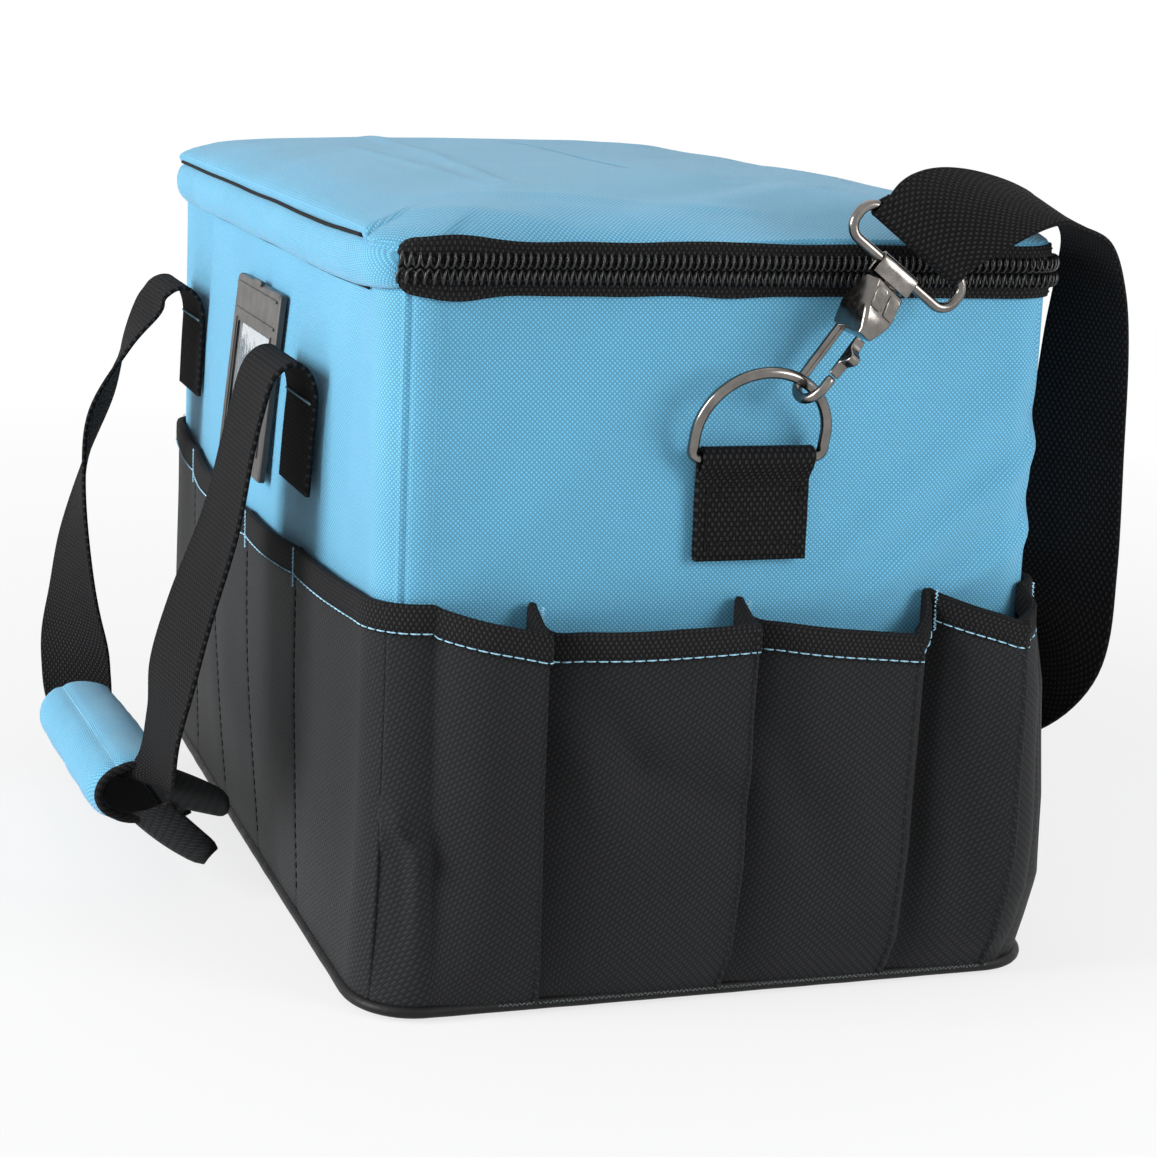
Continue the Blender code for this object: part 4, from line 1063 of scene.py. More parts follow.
class TOOLBAG_OT_pockets(Operator):
    """Builds the four rows of outside pockets with their bindings, topstitching and bartacks"""

    bl_idname = "tool_bag.pockets"
    bl_label = "Outside pockets"

    def execute(self, context):
        make_pocket_row("near_end", 0.0, pleated_path, end_pocket_seams, end_pocket_folds)
        make_pocket_row("far_end", far(0), pleated_path, end_pocket_seams, end_pocket_folds)
        make_pocket_row("right", right(0), flat_path, side_pocket_seams, ())
        make_pocket_row("left", left(0), flat_path, side_pocket_seams, ())
        return {"FINISHED"}


# Lid
lid_skirt = 0.0095
lid_crown = 0.0145
lid_roll = 0.0036
end_rise_shares = (
    (0.0, 0.0), (0.06, 0.17), (0.12, 0.30), (0.22, 0.48), (0.35, 0.66), (0.5, 0.81),
    (0.65, 0.90), (0.8, 0.965), (0.90, 1.0), (1.0, 1.0),
)
side_rise_shares = (
    (0.0, 0.0), (0.012, 0.12), (0.03, 0.27), (0.06, 0.43), (0.10, 0.56), (0.16, 0.67), (0.30, 0.81),
    (0.5, 0.91), (0.7, 0.97), (0.90, 1.0), (1.0, 1.0),
)
# How high the skirt above the zipper stands along the near end, as a share of its full height
skirt_shares = (
    (-0.125, 0.75), (-0.105, 0.70), (-0.075, 0.45), (-0.052, 0.22), (-0.036, 0.35), (-0.012, 0.80),
    (0.020, 1.05), (0.125, 1.0),
)
lid_folds = (
    (-0.098, -0.160, -0.050, -0.176, 0.0050, 0.0007),
    (-0.044, 0.150, -0.062, -0.130, 0.0035, 0.0007),
    (-0.073, 0.047, -0.068, -0.134, 0.0030, 0.0006),
    (-0.086, -0.140, 0.010, -0.160, 0.0045, 0.0007),
    (-0.050, -0.180, 0.030, -0.110, 0.0120, -0.0008),
    (-0.036, -0.175, 0.045, -0.118, 0.0100, 0.0008),
    (0.060, 0.100, 0.100, 0.160, 0.0100, 0.0008),
)


def lid_height(inset_share, s, x, y):
    """Height of the lid's canvas at a share of the way from its edge to its middle line."""
    place = (s + straight_x) % outline_length - straight_x
    near_end = place < straight_x + corner_arc
    skirt = np.mean([between(skirt_shares, place + i * 0.004) for i in range(-4, 5)]) if near_end else 1.0
    if place > outline_length - straight_x - corner_arc:
        skirt = 0.75
    drop = (1 - skirt) * lid_skirt * max(0.0, 1 - inset_share / 0.22) ** 2
    sideways = 1 / (1 + math.exp(-(abs(x) / body_width - abs(y) / body_length) / 0.09))
    rise = between(side_rise_shares, inset_share) * sideways
    rise += between(end_rise_shares, inset_share) * (1 - sideways)
    z = lid_bottom + lid_skirt - drop + lid_crown * rise
    wrinkle = bpy.context.scene.tool_bag_fabric.wrinkle
    ease = min(inset_share / 0.08, 1.0) * wrinkle
    z += ease * near_line(x, y, lid_folds)
    z += ease * (0.0011 * uneven(x, y, 3.0, 0.075) + 0.0004 * uneven(x, y, 4.0, 0.028))
    return z


class TOOLBAG_OT_lid(Operator):
    """Builds the lid's crowned canvas and its puffed fabric hinge, and dresses its board and lining"""

    bl_idname = "tool_bag.lid"
    bl_label = "Lid and hinge"

    def execute(self, context):
        columns = marks(-straight_x, outline_length - straight_x, 0.0035, 0.0016)[:-1]
        half_x, half_y = body_width / 2, body_length / 2
        rows, weave = [], []
        ends = [*columns, outline_length - straight_x]

        def ring(inset, z_of, map_of, roll=0.0):
            scale_x, scale_y = 1 - inset / half_x, 1 - inset / half_y
            row, maps = [], []
            for s in ends:
                point, way, _ = outline_frame(s)
                hinge_side = max(-way.x, 0.0) ** 2
                x = point.x * scale_x + way.x * roll * hinge_side
                y = point.y * scale_y
                z = z_of(s, x, y)
                row.append((x, y, z))
                maps.append(map_of(s, x, y, z))
            rows.append(row[:-1])
            weave.append(maps)

        skirt_levels = (0.0, 0.3, 0.55, 0.66, 0.76, 0.88)
        for share in skirt_levels:
            bulge = -0.0006 * math.sin(math.pi * share)
            ring(
                bulge,
                lambda s, x, y: lid_bottom + share * (lid_height(0.0, s, x, y) - lid_bottom),
                lambda s, x, y, z: (s, z),
                lid_roll * math.sqrt(max(share - 0.55, 0.0) / 0.45),
            )
        for share in [0.0, 0.004, 0.010, *np.linspace(0.02, 1.0, 62)]:
            ring(
                share * half_x * 0.998,
                lambda s, x, y: lid_height(share, s, x, y) - 0.0004 * (share < 0.002),
                lambda s, x, y, z: (x, y),
                lid_roll * math.sin(math.pi * min(0.5 + share * 8, 1.0)),
            )
        count = len(skirt_levels)
        skirt_top = [(s, lid_bottom + lid_skirt) for s, _ in weave[0]]
        skirt = grid_mesh("skirt", rows[: count + 1], np.array([*weave[:count], skirt_top]), closed=True)
        crown = grid_mesh("crown", rows[count:], np.array(weave[count:]), closed=True)
        mesh = joined("lid_canvas", [skirt, crown])
        lid = add_piece(mesh, "canvas", "lid", ["lid_shell"])
        weld = lid.modifiers.new("Closed crown", "WELD")
        weld.merge_threshold = 0.00005
        thicken(lid, canvas_thickness)
        dress("lid_board", "foam")
        dress("lid_lining", "lining")

        # the puffed band of fabric that hinges the lid, which ends at the zipper's two ends
        start, end = zip_end - 0.0015, outline_length + zip_start + 0.0015
        columns = marks(start, end, 0.0025, 0.0012)
        top, height, puff = 0.2484, 0.0170, 0.0068
        rows = []
        for angle in np.linspace(-math.pi / 2, math.pi / 2, 24):
            row = []
            for s in columns:
                away = min(s - start, end - s)
                full = min(away / 0.030, 1.0) ** 0.6
                soft = 1 + 0.16 * uneven(s, 0.0, 7.0, 0.040) + 0.07 * uneven(s, angle * 0.004, 8.0, 0.012)
                bulge = max(math.cos(angle), 0.0) ** 0.8 * soft
                out = -0.0006 * full + puff * (0.14 + 0.90 * full) * bulge + 0.0008 * (1 - full)
                lift = 0.0012 * full * uneven(s, 0.0, 17.0, 0.06)
                tall = height * (0.62 + 0.38 * full)
                z = top - height / 2 + lift + tall / 2 * math.sin(angle)
                row.append(body_point(s, out, z))
            rows.append(row)
        mesh = grid_mesh("hinge_band", rows)
        band = add_piece(mesh, "canvas", None, ["hinge_gusset"])
        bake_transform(band)

        # a thin black tube along the crease above the band, as painted shade of that crease, and the seam
        # below it
        inner = [s for s in columns if start + 0.018 < s < end - 0.018]
        crease = [body_point(s, 0.0031, 0.2480 + 0.0012 * uneven(s, 0.0, 17.0, 0.06)) for s in inner]
        mesh = tube_mesh("hinge_crease_shade", crease, 0.0007, 8)
        # this black tube is painted shade: the dark line of the crease, where no tape lies
        add_piece(mesh, "tape", "lid")
        seam = [body_point(s, 0.0004, 0.2314 + 0.0012 * uneven(s, 0.0, 17.0, 0.06)) for s in inner]
        mesh = tube_mesh("hinge_seam_thread", seam, 0.00045, 6)
        add_piece(mesh, "black thread", "bag")
        return {"FINISHED"}


# Zipper
def zip_edge(s, reach):
    """How much of a tape's or coil's height there is at s: it rounds off at both ends."""
    away = min(s - zip_start, zip_end - s)
    if away >= reach:
        return 1.0
    return math.sqrt(max(1 - (1 - away / reach) ** 2, 0.0))


class TOOLBAG_OT_zipper(Operator):
    """Builds the zipper's tapes, stitching and coils, and dresses its sliders and pulls"""

    bl_idname = "tool_bag.zipper"
    bl_label = "Zipper"

    def execute(self, context):
        threads = context.scene.tool_bag_thread
        pitch = context.scene.tool_bag_hardware.coil_pitch
        columns = marks(zip_start, zip_end, 0.003, 0.0012)
        for name, way, body in (("lower", -1, "bag"), ("upper", 1, "lid")):
            rows, weave = [], []
            levels = (0.0, 0.3, 0.6, 0.85, 1.0)
            for level in levels if way > 0 else reversed(levels):
                row = []
                for s in columns:
                    reach = 0.0080 + 0.0007 * uneven(s, way, 9.0, 0.022)
                    reach += 0.0016 * math.exp(-(((s + 0.094) / 0.011) ** 2))
                    full = 0.30 + 0.70 * zip_edge(s, 0.006)
                    z = zip_middle + way * (0.0001 + (reach + 0.0005) * level * full)
                    row.append(body_point(s, 0.0011 + 0.0003 * math.sin(math.pi * level), z))
                rows.append(row)
                weave.append([(s, level * 0.0082) for s in columns])
            mesh = grid_mesh(f"{name}_tape_cloth", rows, np.array(weave))
            tape = add_piece(mesh, "tape", body, [f"{name}_zipper_tape"])
            thicken(tape, 0.0008)

            # the coil: a flattened helix of monofilament with one turn for each tooth
            steps = 12
            turns = int((zip_end - zip_start - 0.004) / pitch)
            points = []
            for i in range(turns * steps + 1):
                turn = 2 * math.pi * i / steps
                s = zip_start + 0.002 + pitch * i / steps
                lean = way * 0.00045 * math.sin(turn)
                z = zip_middle + way * (0.00250 + 0.00235 * math.cos(turn + (math.pi if way > 0 else 0)))
                points.append(body_point(s + lean, 0.00275 + 0.00115 * math.sin(turn), z))
            mesh = tube_mesh(f"{name}_coil_turns", points, 0.00046, 6)
            add_piece(mesh, "coil", body, [f"{name}_zipper_coil"])

            # the two rows of thread that sew the coil to its tape, and the tape to the canvas
            stitches = []
            for level, out, length in ((0.0034, 0.00395, 0.0011), (0.0072, 0.0014, 0.0024)):
                line = []
                for s in columns[2:-2]:
                    z = zip_middle + way * level * (0.35 + 0.65 * zip_edge(s, 0.008))
                    line.append((body_point(s, out, z), outline_frame(s)[1]))
                gap = pitch - length if length < 0.002 else 0.0008
                stitches.append(stitch_mesh("stitches", line, length, gap, threads.thread_radius * 0.75))
            add_piece(joined(f"{name}_zipper_stitches", stitches), "black thread", body)
        for side in ("near", "far"):
            dress(f"{side}_slider", "enamel", 0.0004)
            dress(f"{side}_slider_pull", "enamel", 0.0004)
        return {"FINISHED"}


# D-rings and their tabs
ring_wire_radius = 0.0019
ring_arc_radius = 0.0224
ring_leg = 0.0075
ring_corner = 0.0029
ring_lean = math.radians(17)
ring_tab_centre = 0.006
ring_bar_height = 0.182
ring_tab_width = 0.039
ring_tab_bottom = 0.148
ring_webbing = 0.0015
ring_tab_loop = ring_wire_radius + fit_gap + ring_webbing
ring_bar_out = fit_gap + ring_tab_loop


def arc(centre, radius, start, end, steps):
    """Points of an arc in a plane, from one angle to another."""
    turns = [start + (end - start) * i / steps for i in range(steps + 1)]
    return [(centre[0] + radius * math.cos(a), centre[1] + radius * math.sin(a)) for a in turns]


def end_face(way):
    return way * (body_length / 2 + end_bow)


def ring_point(angle, way):
    rise = ring_leg + ring_arc_radius * math.sin(angle)
    return Vector(
        (
            ring_tab_centre + ring_arc_radius * math.cos(angle),
            end_face(way) + way * (ring_bar_out + rise * math.sin(ring_lean)),
            ring_bar_height + rise * math.cos(ring_lean),
        )
    )


def rounded_box(left_x, right_x, low_y, high_y, corner, steps=5):
    """Points of a rounded rectangle, anticlockwise from its right side."""
    xs, ys = (left_x + corner, right_x - corner), (low_y + corner, high_y - corner)
    made = []
    for turn, (i, j) in enumerate(((1, 1), (0, 1), (0, 0), (1, 0))):
        start = turn * math.pi / 2
        made += arc((xs[i], ys[j]), corner, start, start + math.pi / 2, steps)
    return made


class TOOLBAG_OT_rings(Operator):
    """Builds the D-rings and the webbing tabs that are box stitched to the ends"""

    bl_idname = "tool_bag.rings"
    bl_label = "D-rings and tabs"

    def execute(self, context):
        for name, way in (("near", -1), ("far", 1)):
            bar = Vector((ring_tab_centre, end_face(way) + way * ring_bar_out, ring_bar_height))
            drop = ring_tab_bottom - ring_bar_height
            middle = ring_tab_loop - ring_webbing / 2
            front = ring_webbing * 1.5 - ring_tab_loop
            route = [(-middle, drop), (-middle, drop / 2), (-middle, -0.002)]
            route += arc((0, 0), middle, math.pi, -math.pi / 5, 14)
            slope = [(middle * 0.62, -0.0030), (0.0, -0.0052), (front, -0.0078), (front, -0.012)]
            route += spline(slope, 4)[1:].tolist()
            route += [(front, drop * share) for share in (0.45, 0.6, 0.75, 0.9, 1.0)]
            knots = []
            for out, up in route:
                slack = 0.0004 * uneven(out, up, 11.0 + way, 0.01)
                knots.append((bar + Vector((slack, way * out, up)), Vector((-way, 0, 0)), ring_tab_width))
            mesh = ribbon_mesh(f"{name}_ring_webbing", knots, ring_webbing)
            add_piece(mesh, "webbing", "bag", [f"{name}_ring_tab"])

            # box stitching with a cross in it
            face = front + ring_webbing / 2 + 0.0001
            outwards = Vector((0, way, 0))

            def place(x, up):
                return (bar + Vector((x, way * face, up)), outwards)

            wide, low, high = ring_tab_width / 2 - 0.0035, drop + 0.0032, -0.0095
            rows = [
                [place(-wide, low), place(wide, low)],
                [place(-wide, high), place(wide, high)],
                [place(-wide, low), place(-wide, high)],
                [place(wide, low), place(wide, high)],
                [place(-wide, low), place(wide, high)],
                [place(wide, low), place(-wide, high)],
                [place(-wide + 0.003, low + 0.0028), place(wide - 0.003, low + 0.0028)],
            ]
            label = f"{name}_ring_stitches"
            sew(label, rows, "black thread", "bag", 0.0026, 0.0008, 0.00032)

            side = ring_arc_radius
            flat = arc((side - ring_corner, ring_corner), ring_corner, -math.pi / 2, 0, 8)
            flat += arc((0, ring_leg), side, 0, math.pi, 64)
            flat += arc((-side + ring_corner, ring_corner), ring_corner, math.pi, 1.5 * math.pi, 8)
            up = Vector((0, way * math.sin(ring_lean), math.cos(ring_lean)))
            points = [bar + Vector((x, 0, 0)) + up * z for x, z in flat]
            mesh = tube_mesh(f"{name}_ring_wire", points, ring_wire_radius, 20, cyclic=True)
            add_piece(mesh, "nickel", f"{name}_ring", [f"{name}_d_ring"])
        return {"FINISHED"}


# Swivel snap hooks
hook_angles = {-1: math.radians(53), 1: math.radians(36)}
hook_offsets = {-1: 0.0010, 1: 0.0016}
hook_twist = math.radians(10)
bow_wire_radius = 0.0017
bow_inner_gap = 0.0052
bow_radius = bow_inner_gap + bow_wire_radius
bow_centre = bow_inner_gap - ring_wire_radius - 0.0012
housing_start = 0.0215
housing_length = 0.0180
housing_end = housing_start + housing_length
swivel_end = housing_end + 0.004
loop_start = swivel_end + fit_gap + bow_wire_radius
loop_end = loop_start + 0.0120
strap_loop_half = 0.0225
strap_loop_corner = 0.0052


def hook_axes(way):
    """A hook's middle at its ring's wire, its long way, its gate's way and its flat way."""
    angle = hook_angles[way]
    seat = ring_point(angle, way) + Vector((0, way * hook_offsets[way], 0))
    out = Vector((math.cos(angle), 0, math.sin(angle)))
    across = Vector((math.sin(angle), 0, -math.cos(angle)))
    gate = Vector((0, way, 0)) * math.cos(hook_twist) + across * math.sin(hook_twist)
    return seat, out, gate, across


# The housing's rings: share of its length, half depth, half width and corner
housing_rings = (
    (0.00, 0.0070, 0.0022, 0.0009),
    (0.02, 0.0084, 0.0029, 0.0014),
    (0.10, 0.0089, 0.0034, 0.0016),
    (0.30, 0.0084, 0.0051, 0.0018),
    (0.42, 0.0080, 0.0060, 0.0018),
    (0.50, 0.0074, 0.0062, 0.0016),
    (0.93, 0.0041, 0.0066, 0.0012),
    (0.98, 0.0037, 0.0065, 0.0010),
    (1.00, 0.0032, 0.0060, 0.0008),
)
# The two raised pads on the housing's sloping face: shares of its length, and widths
pad_middle, pad_reach = 0.715, 0.205
pad_side, pad_half_width, pad_corner = 0.0031, 0.0024, 0.3
# The swivel post: how far along from the housing's end, and radius
swivel_post = ((0.0, 0.0036), (0.0005, 0.0040), (0.0009, 0.0036), (0.0010, 0.0016), (0.0040, 0.0015))


def housing_mesh(name, at, way):
    """The stamped housing with its pads; at places its lengthwise, depth and width measures."""
    rings = []
    for share, half_v, half_w, corner in housing_rings:
        u = housing_start + housing_length * share
        box = rounded_box(-half_v, half_v, -half_w, half_w, corner)
        rings.append([at(u, v, w) for v, w in box][:: -way])
    meshes = [grid_mesh("housing", rings[::-1], closed=True, capped=True)]
    depths = [row[:2] for row in housing_rings]
    for side in (-1, 1):
        rings = []
        for size, lift in ((1.0, -0.0004), (1.0, 0.00032), (0.84, 0.00045)):
            ring = []
            for across, aside in rounded_box(-1.0, 1.0, -1.0, 1.0, pad_corner, 4):
                u = housing_start + housing_length * (pad_middle + pad_reach * across * size)
                v = between(depths, pad_middle + pad_reach * across) + lift
                ring.append(at(u, v, side * pad_side + pad_half_width * aside * size))
            rings.append(ring)
        meshes.append(grid_mesh("pad", rings, closed=True, capped=True))
    mesh = joined(name, meshes)
    mesh.set_sharp_from_angle(angle=math.radians(28))
    return mesh


class TOOLBAG_OT_hooks(Operator):
    """Builds the swivel snap hooks: bows, housings, swivels and gates, and the strap's loops"""

    bl_idname = "tool_bag.hooks"
    bl_label = "Snap hooks"

    def execute(self, context):
        for name, way in (("near", -1), ("far", 1)):
            seat, out, gate, across = hook_axes(way)
            flat = out.cross(gate)

            def at(u, v, w=0.0):
                return seat + out * u + gate * v + flat * w

            path = [(housing_start + 0.002, -bow_radius)]
            path += [(housing_start - 0.004 * i, -bow_radius) for i in range(0, 4)]
            path += arc((bow_centre, 0), bow_radius, -math.pi / 2, -1.5 * math.pi, 32)
            path += [(bow_centre + 0.002, bow_radius), (bow_centre + 0.0034, bow_radius * 0.99)]
            radii = [bow_wire_radius] * (len(path) - 1) + [bow_wire_radius * 0.8]
            mesh = tube_mesh(f"{name}_bow_wire", [at(u, v) for u, v in path], radii, 18)
            add_piece(mesh, "nickel", f"{name}_hook", [f"{name}_hook_bow"])

            mesh = housing_mesh(f"{name}_housing_shell", at, way)
            add_piece(mesh, "nickel", f"{name}_hook", [f"{name}_hook_housing"])

            post = [at(housing_end + u, 0) for u, _ in swivel_post]
            mesh = tube_mesh(f"{name}_swivel_post", post, [radius for _, radius in swivel_post], 20)
            mesh.set_sharp_from_angle(angle=math.radians(40))
            add_piece(mesh, "nickel", f"{name}_hook", [f"{name}_hook_swivel"])

            # the wire loop, and the sheet sleeve that folds round its bar
            box = rounded_box(loop_start, loop_end, -strap_loop_half, strap_loop_half, strap_loop_corner, 8)
            points = [seat + out * u + across * v for u, v in box]
            mesh = tube_mesh(f"{name}_loop_wire", points, bow_wire_radius, 18, cyclic=True)
            add_piece(mesh, "nickel", "strap", [f"{name}_strap_loop"])

            wrap = bow_wire_radius + 0.00055
            leaf = [0.0048, 0.0030, 0.0010]
            route = [(loop_start - u, wrap) for u in leaf]
            turns = np.linspace(0.1, math.pi - 0.1, 11)
            route += [(loop_start + wrap * math.sin(a), wrap * math.cos(a)) for a in turns]
            route += [(loop_start - u, -wrap) for u in reversed(leaf)]
            outwards = Vector((0, way, 0))
            knots = [(seat + out * u + outwards * v, across, 0.0150) for u, v in route]
            mesh = ribbon_mesh(f"{name}_loop_sleeve", knots, 0.0009)
            mesh.set_sharp_from_angle(angle=math.radians(40))
            add_piece(mesh, "nickel", "strap")

            # the sprung gate, a strip along the bow's mouth, with its thumb tab
            root, tip = housing_start - 0.0010, bow_centre + 0.0042
            upper = [
                (root, 0.0078), (root - 0.0030, 0.0079), (root - 0.0042, 0.0090), (root - 0.0056, 0.0110),
                (root - 0.0070, 0.0116), (root - 0.0084, 0.0108), (root - 0.0094, 0.0088),
                (root - 0.0104, 0.0079), (tip, 0.0076),
            ]
            lower = [(tip - 0.0004, 0.0069), (tip, 0.0062), (root, 0.0060)]
            outline = [(row[0], row[1]) for row in spline([(*p, 0.0) for p in upper], 3)] + lower
            place = Matrix.Translation(seat) @ Matrix((out, gate, flat)).transposed().to_4x4()
            mesh = slab_mesh(f"{name}_gate_leaf", outline[::way], -0.0019, 0.0019, place)
            leaf = add_piece(mesh, "nickel", f"{name}_gate", [f"{name}_hook_gate"])
            bevel(leaf, 0.0004)
        return {"FINISHED"}


# Webbing routes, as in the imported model
strap_side_reach = 0.0262
# The strap's two edges, lower and upper, as it turns over from the near hook
near_strap_edges = (
    ((0.0760, -0.2065, 0.2478), (0.0483, -0.1975, 0.2708)),
    ((0.0825, -0.2085, 0.2520), (0.0600, -0.1885, 0.2738)),
    ((0.0900, -0.2085, 0.2556), (0.0745, -0.1795, 0.2742)),
    ((0.0973, -0.2068, 0.2580), (0.0905, -0.1720, 0.2718)),
    ((0.1043, -0.2045, 0.2590), (0.1040, -0.1676, 0.2680)),
)
near_strap_shares = (
    (0.980, 0.00, -0.981, 1.080),
    (1.000, 0.52, -0.936, 1.045),
    (1.000, 0.74, -0.910, 0.980),
    (1.000, 0.82, -0.893, 0.890),
    (1.000, 0.90, -0.870, 0.747),
    (1.000, 0.98, -0.859, 0.560),
    (1.000, 1.00, -0.827, 0.430),
    (1.000, 1.00, -0.638, 0.330),
    (1.000, 1.00, -0.324, 0.286),
)
near_strap_ways = (
    (-0.10, -0.98, -0.15),
    (-0.05, -1.00, -0.03),
    (0.15, -0.99, 0.00),
    (0.35, -0.94, 0.00),
    (0.50, -0.86, 0.00),
    (0.55, -0.83, 0.00),
    (0.50, -0.68, -0.54),
    (0.10, -0.36, -0.93),
    (0.00, 0.00, -1.00),
)
far_strap_shares = (
    (0.675, 0.00, 1.160, 0.989),
    (0.734, 0.00, 1.214, 0.977),
    (0.832, 0.00, 1.246, 0.959),
    (0.945, 0.00, 1.246, 0.936),
    (1.000, 0.20, 1.214, 0.913),
    (1.000, 0.51, 1.161, 0.887),
)
far_strap_ways = (
    (0.59, -0.08, -0.80),
    (0.22, -0.40, -0.88),
    (-0.33, -0.15, -0.93),
    (-0.40, 0.05, -0.91),
    (-0.36, 0.22, -0.90),
    (-0.24, 0.38, -0.88),
)
adjuster_half_length = 0.0185
adjuster_thickness = 0.002
adjuster_shares = (1.000, 0.804, 1.003, 0.803)
adjuster_run_way = (0.12, -0.80, -0.58)
adjuster_width_way = (-0.05, 0.57, -0.82)
side_strap_shares = (
    (1.000, 0.97, 0.859, 0.721),
    (1.000, 1.00, 0.800, 0.660),
    (1.000, 1.00, 0.700, 0.540),
    (1.000, 1.00, 0.584, 0.419),
    (1.000, 1.00, 0.432, 0.328),
    (1.000, 1.00, 0.230, 0.290),
)
side_strap_ways = (
    (0.00, 0.63, -0.78),
    (0.00, 0.66, -0.75),
    (0.00, 0.70, -0.71),
    (0.00, 0.62, -0.78),
    (0.00, 0.30, -0.95),
    (0.00, 0.00, -1.00),
)
strap_width = 0.038
strap_thickness = 0.0015
strap_leans = {-1: math.radians(30), 1: math.radians(60)}


def smooth_knots(knots, steps):
    """(point, width way, width) knots on a smooth curve through the given ones."""
    rows = [[*p, *Vector(way).normalized(), width] for p, way, width in knots]
    return [(Vector(row[:3]), Vector(row[3:6]), row[6]) for row in spline(rows, steps)]


def strap_point(shares):
    across_share, reach_share, along_share, up_share = shares
    x = body_width / 2 * across_share + strap_side_reach * reach_share
    return Vector((x, body_length / 2 * along_share, body_top * up_share))


def strap_knots(rows, ways):
    return [(strap_point(row), way, strap_width) for row, way in zip(rows, ways)]


def sewn_end(way):
    """Knots of the strap's end round a loop's bar, up to where its free run starts."""
    seat, out, _, across = hook_axes(way)
    bar = seat + out * loop_end
    turn_radius = bow_wire_radius + fit_gap + strap_thickness / 2
    lean = strap_leans[way]
    outwards = Vector((0, way, 0))
    long = (out * math.cos(lean) + outwards * math.sin(lean)) * turn_radius
    front = (outwards * math.cos(lean) - out * math.sin(lean)) * turn_radius * -way
    sewn = (strap_thickness + fit_gap) / 2 / turn_radius
    turn = [math.radians(angle) for angle in range(-120, 121, 15)]
    tail = [(2.9, 1.0), (2.5, 1.0), (2.0, 1.0), (1.3, 1.15)] if way > 0 else [(1.6, 1.05), (1.3, 1.15)]
    route = [(u, -sewn * v) for u, v in tail]
    route += [(-math.cos(a), math.sin(a)) for a in turn]
    route += [(u, sewn * v) for u, v in reversed(tail)]
    return [(bar + long * u + front * v, across, strap_width) for u, v in route]


class TOOLBAG_OT_strap(Operator):
    """Builds the shoulder strap with its sewn ends, and dresses its length adjuster"""

    bl_idname = "tool_bag.strap"
    bl_label = "Shoulder strap"

    def execute(self, context):
        along = Vector(adjuster_run_way).normalized()
        across = Vector(adjuster_width_way)
        across = (across - along * across.dot(along)).normalized()
        face = along.cross(across)
        middle = strap_point(adjuster_shares)
        lift = adjuster_thickness + strap_thickness + 2 * fit_gap
        weave = []
        for share, raised in ((-1.1, 0), (-0.71, 0), (-0.14, 1), (0.14, 1), (0.71, 0), (1.1, 0)):
            spot = middle + along * adjuster_half_length * share + face * lift * raised
            weave.append((spot, across, strap_width))
        ends = {way: sewn_end(way) for way in (-1, 1)}
        turned = []
        for low, high in near_strap_edges:
            low, high = Vector(low), Vector(high)
            turned.append(((low + high) / 2, low - high, strap_width))
        near_run = turned + strap_knots(near_strap_shares, near_strap_ways)
        far_run = strap_knots(far_strap_shares, far_strap_ways)
        side = strap_knots(side_strap_shares, side_strap_ways)
        first = ends[-1][:-1] + smooth_knots([ends[-1][-1], *near_run], 10)
        last = ends[1][:-1] + smooth_knots([ends[1][-1], *far_run, weave[0]], 10)
        last += smooth_knots(weave[1:-1], 4) + smooth_knots([weave[-1], *side], 8)
        mesh = ribbon_mesh("shoulder_webbing", first + last[::-1], strap_thickness)
        add_piece(mesh, "webbing", "strap", ["shoulder_strap"])
        rows = []
        point, width_way, _ = ends[1][-2]
        run = (point - ends[1][-4][0]).normalized()
        normal = run.cross(Vector(width_way)).normalized()
        for offset in (-0.002, 0.002):
            start = point + run * offset + normal * (strap_thickness / 2 + 0.0001)
            ends_of_row = [start - Vector(width_way) * 0.016, start + Vector(width_way) * 0.016]
            rows.append([(place, normal) for place in ends_of_row])
        sew("strap_end_stitches", rows, "black thread", "strap", 0.0026, 0.0008, 0.00028)
        dress("strap_adjuster", "enamel", 0.0006)
        return {"FINISHED"}


# Carry handles
handle_width = 0.050
handle_thickness = 0.0016
handle_near = -0.090
handle_far = 0.130
handle_crest = 0.2005
handle_hang_height = 0.0385
left_pivot_reach = side_bow + 0.0080
right_pivot_reach = side_bow + 0.0050
right_hang_reach = side_bow + pocket_seat + 0.0025 + fit_gap + 0.0008 + 0.0026 + handle_thickness / 2

# The left handle's legs as the sample hangs: x, y, z, which way its width lies, and its width
left_near_leg = (
    (-0.1334, -0.090, 0.1985, (0.00, 1.0, 0.00), 0.048),
    (-0.1352, -0.090, 0.1962, (0.00, 1.0, 0.00), 0.048),
    (-0.1376, -0.090, 0.1900, (0.00, 1.0, 0.00), 0.049),
    (-0.1420, -0.090, 0.1720, (0.00, 1.0, 0.00), 0.050),
    (-0.1480, -0.090, 0.1440, (-0.04, 1.0, 0.00), 0.050),
    (-0.1580, -0.090, 0.1140, (-0.10, 1.0, 0.00), 0.050),
    (-0.1640, -0.088, 0.0900, (-0.12, 1.0, 0.00), 0.050),
    (-0.1660, -0.082, 0.0690, (-0.06, 1.0, 0.05), 0.045),
    (-0.1668, -0.073, 0.0515, (-0.20, 0.95, 0.05), 0.034),
    (-0.1690, -0.058, 0.0430, (-0.60, 0.75, 0.05), 0.026),
    (-0.1715, -0.020, 0.0370, (-1.00, 0.0, 0.00), 0.024),
)
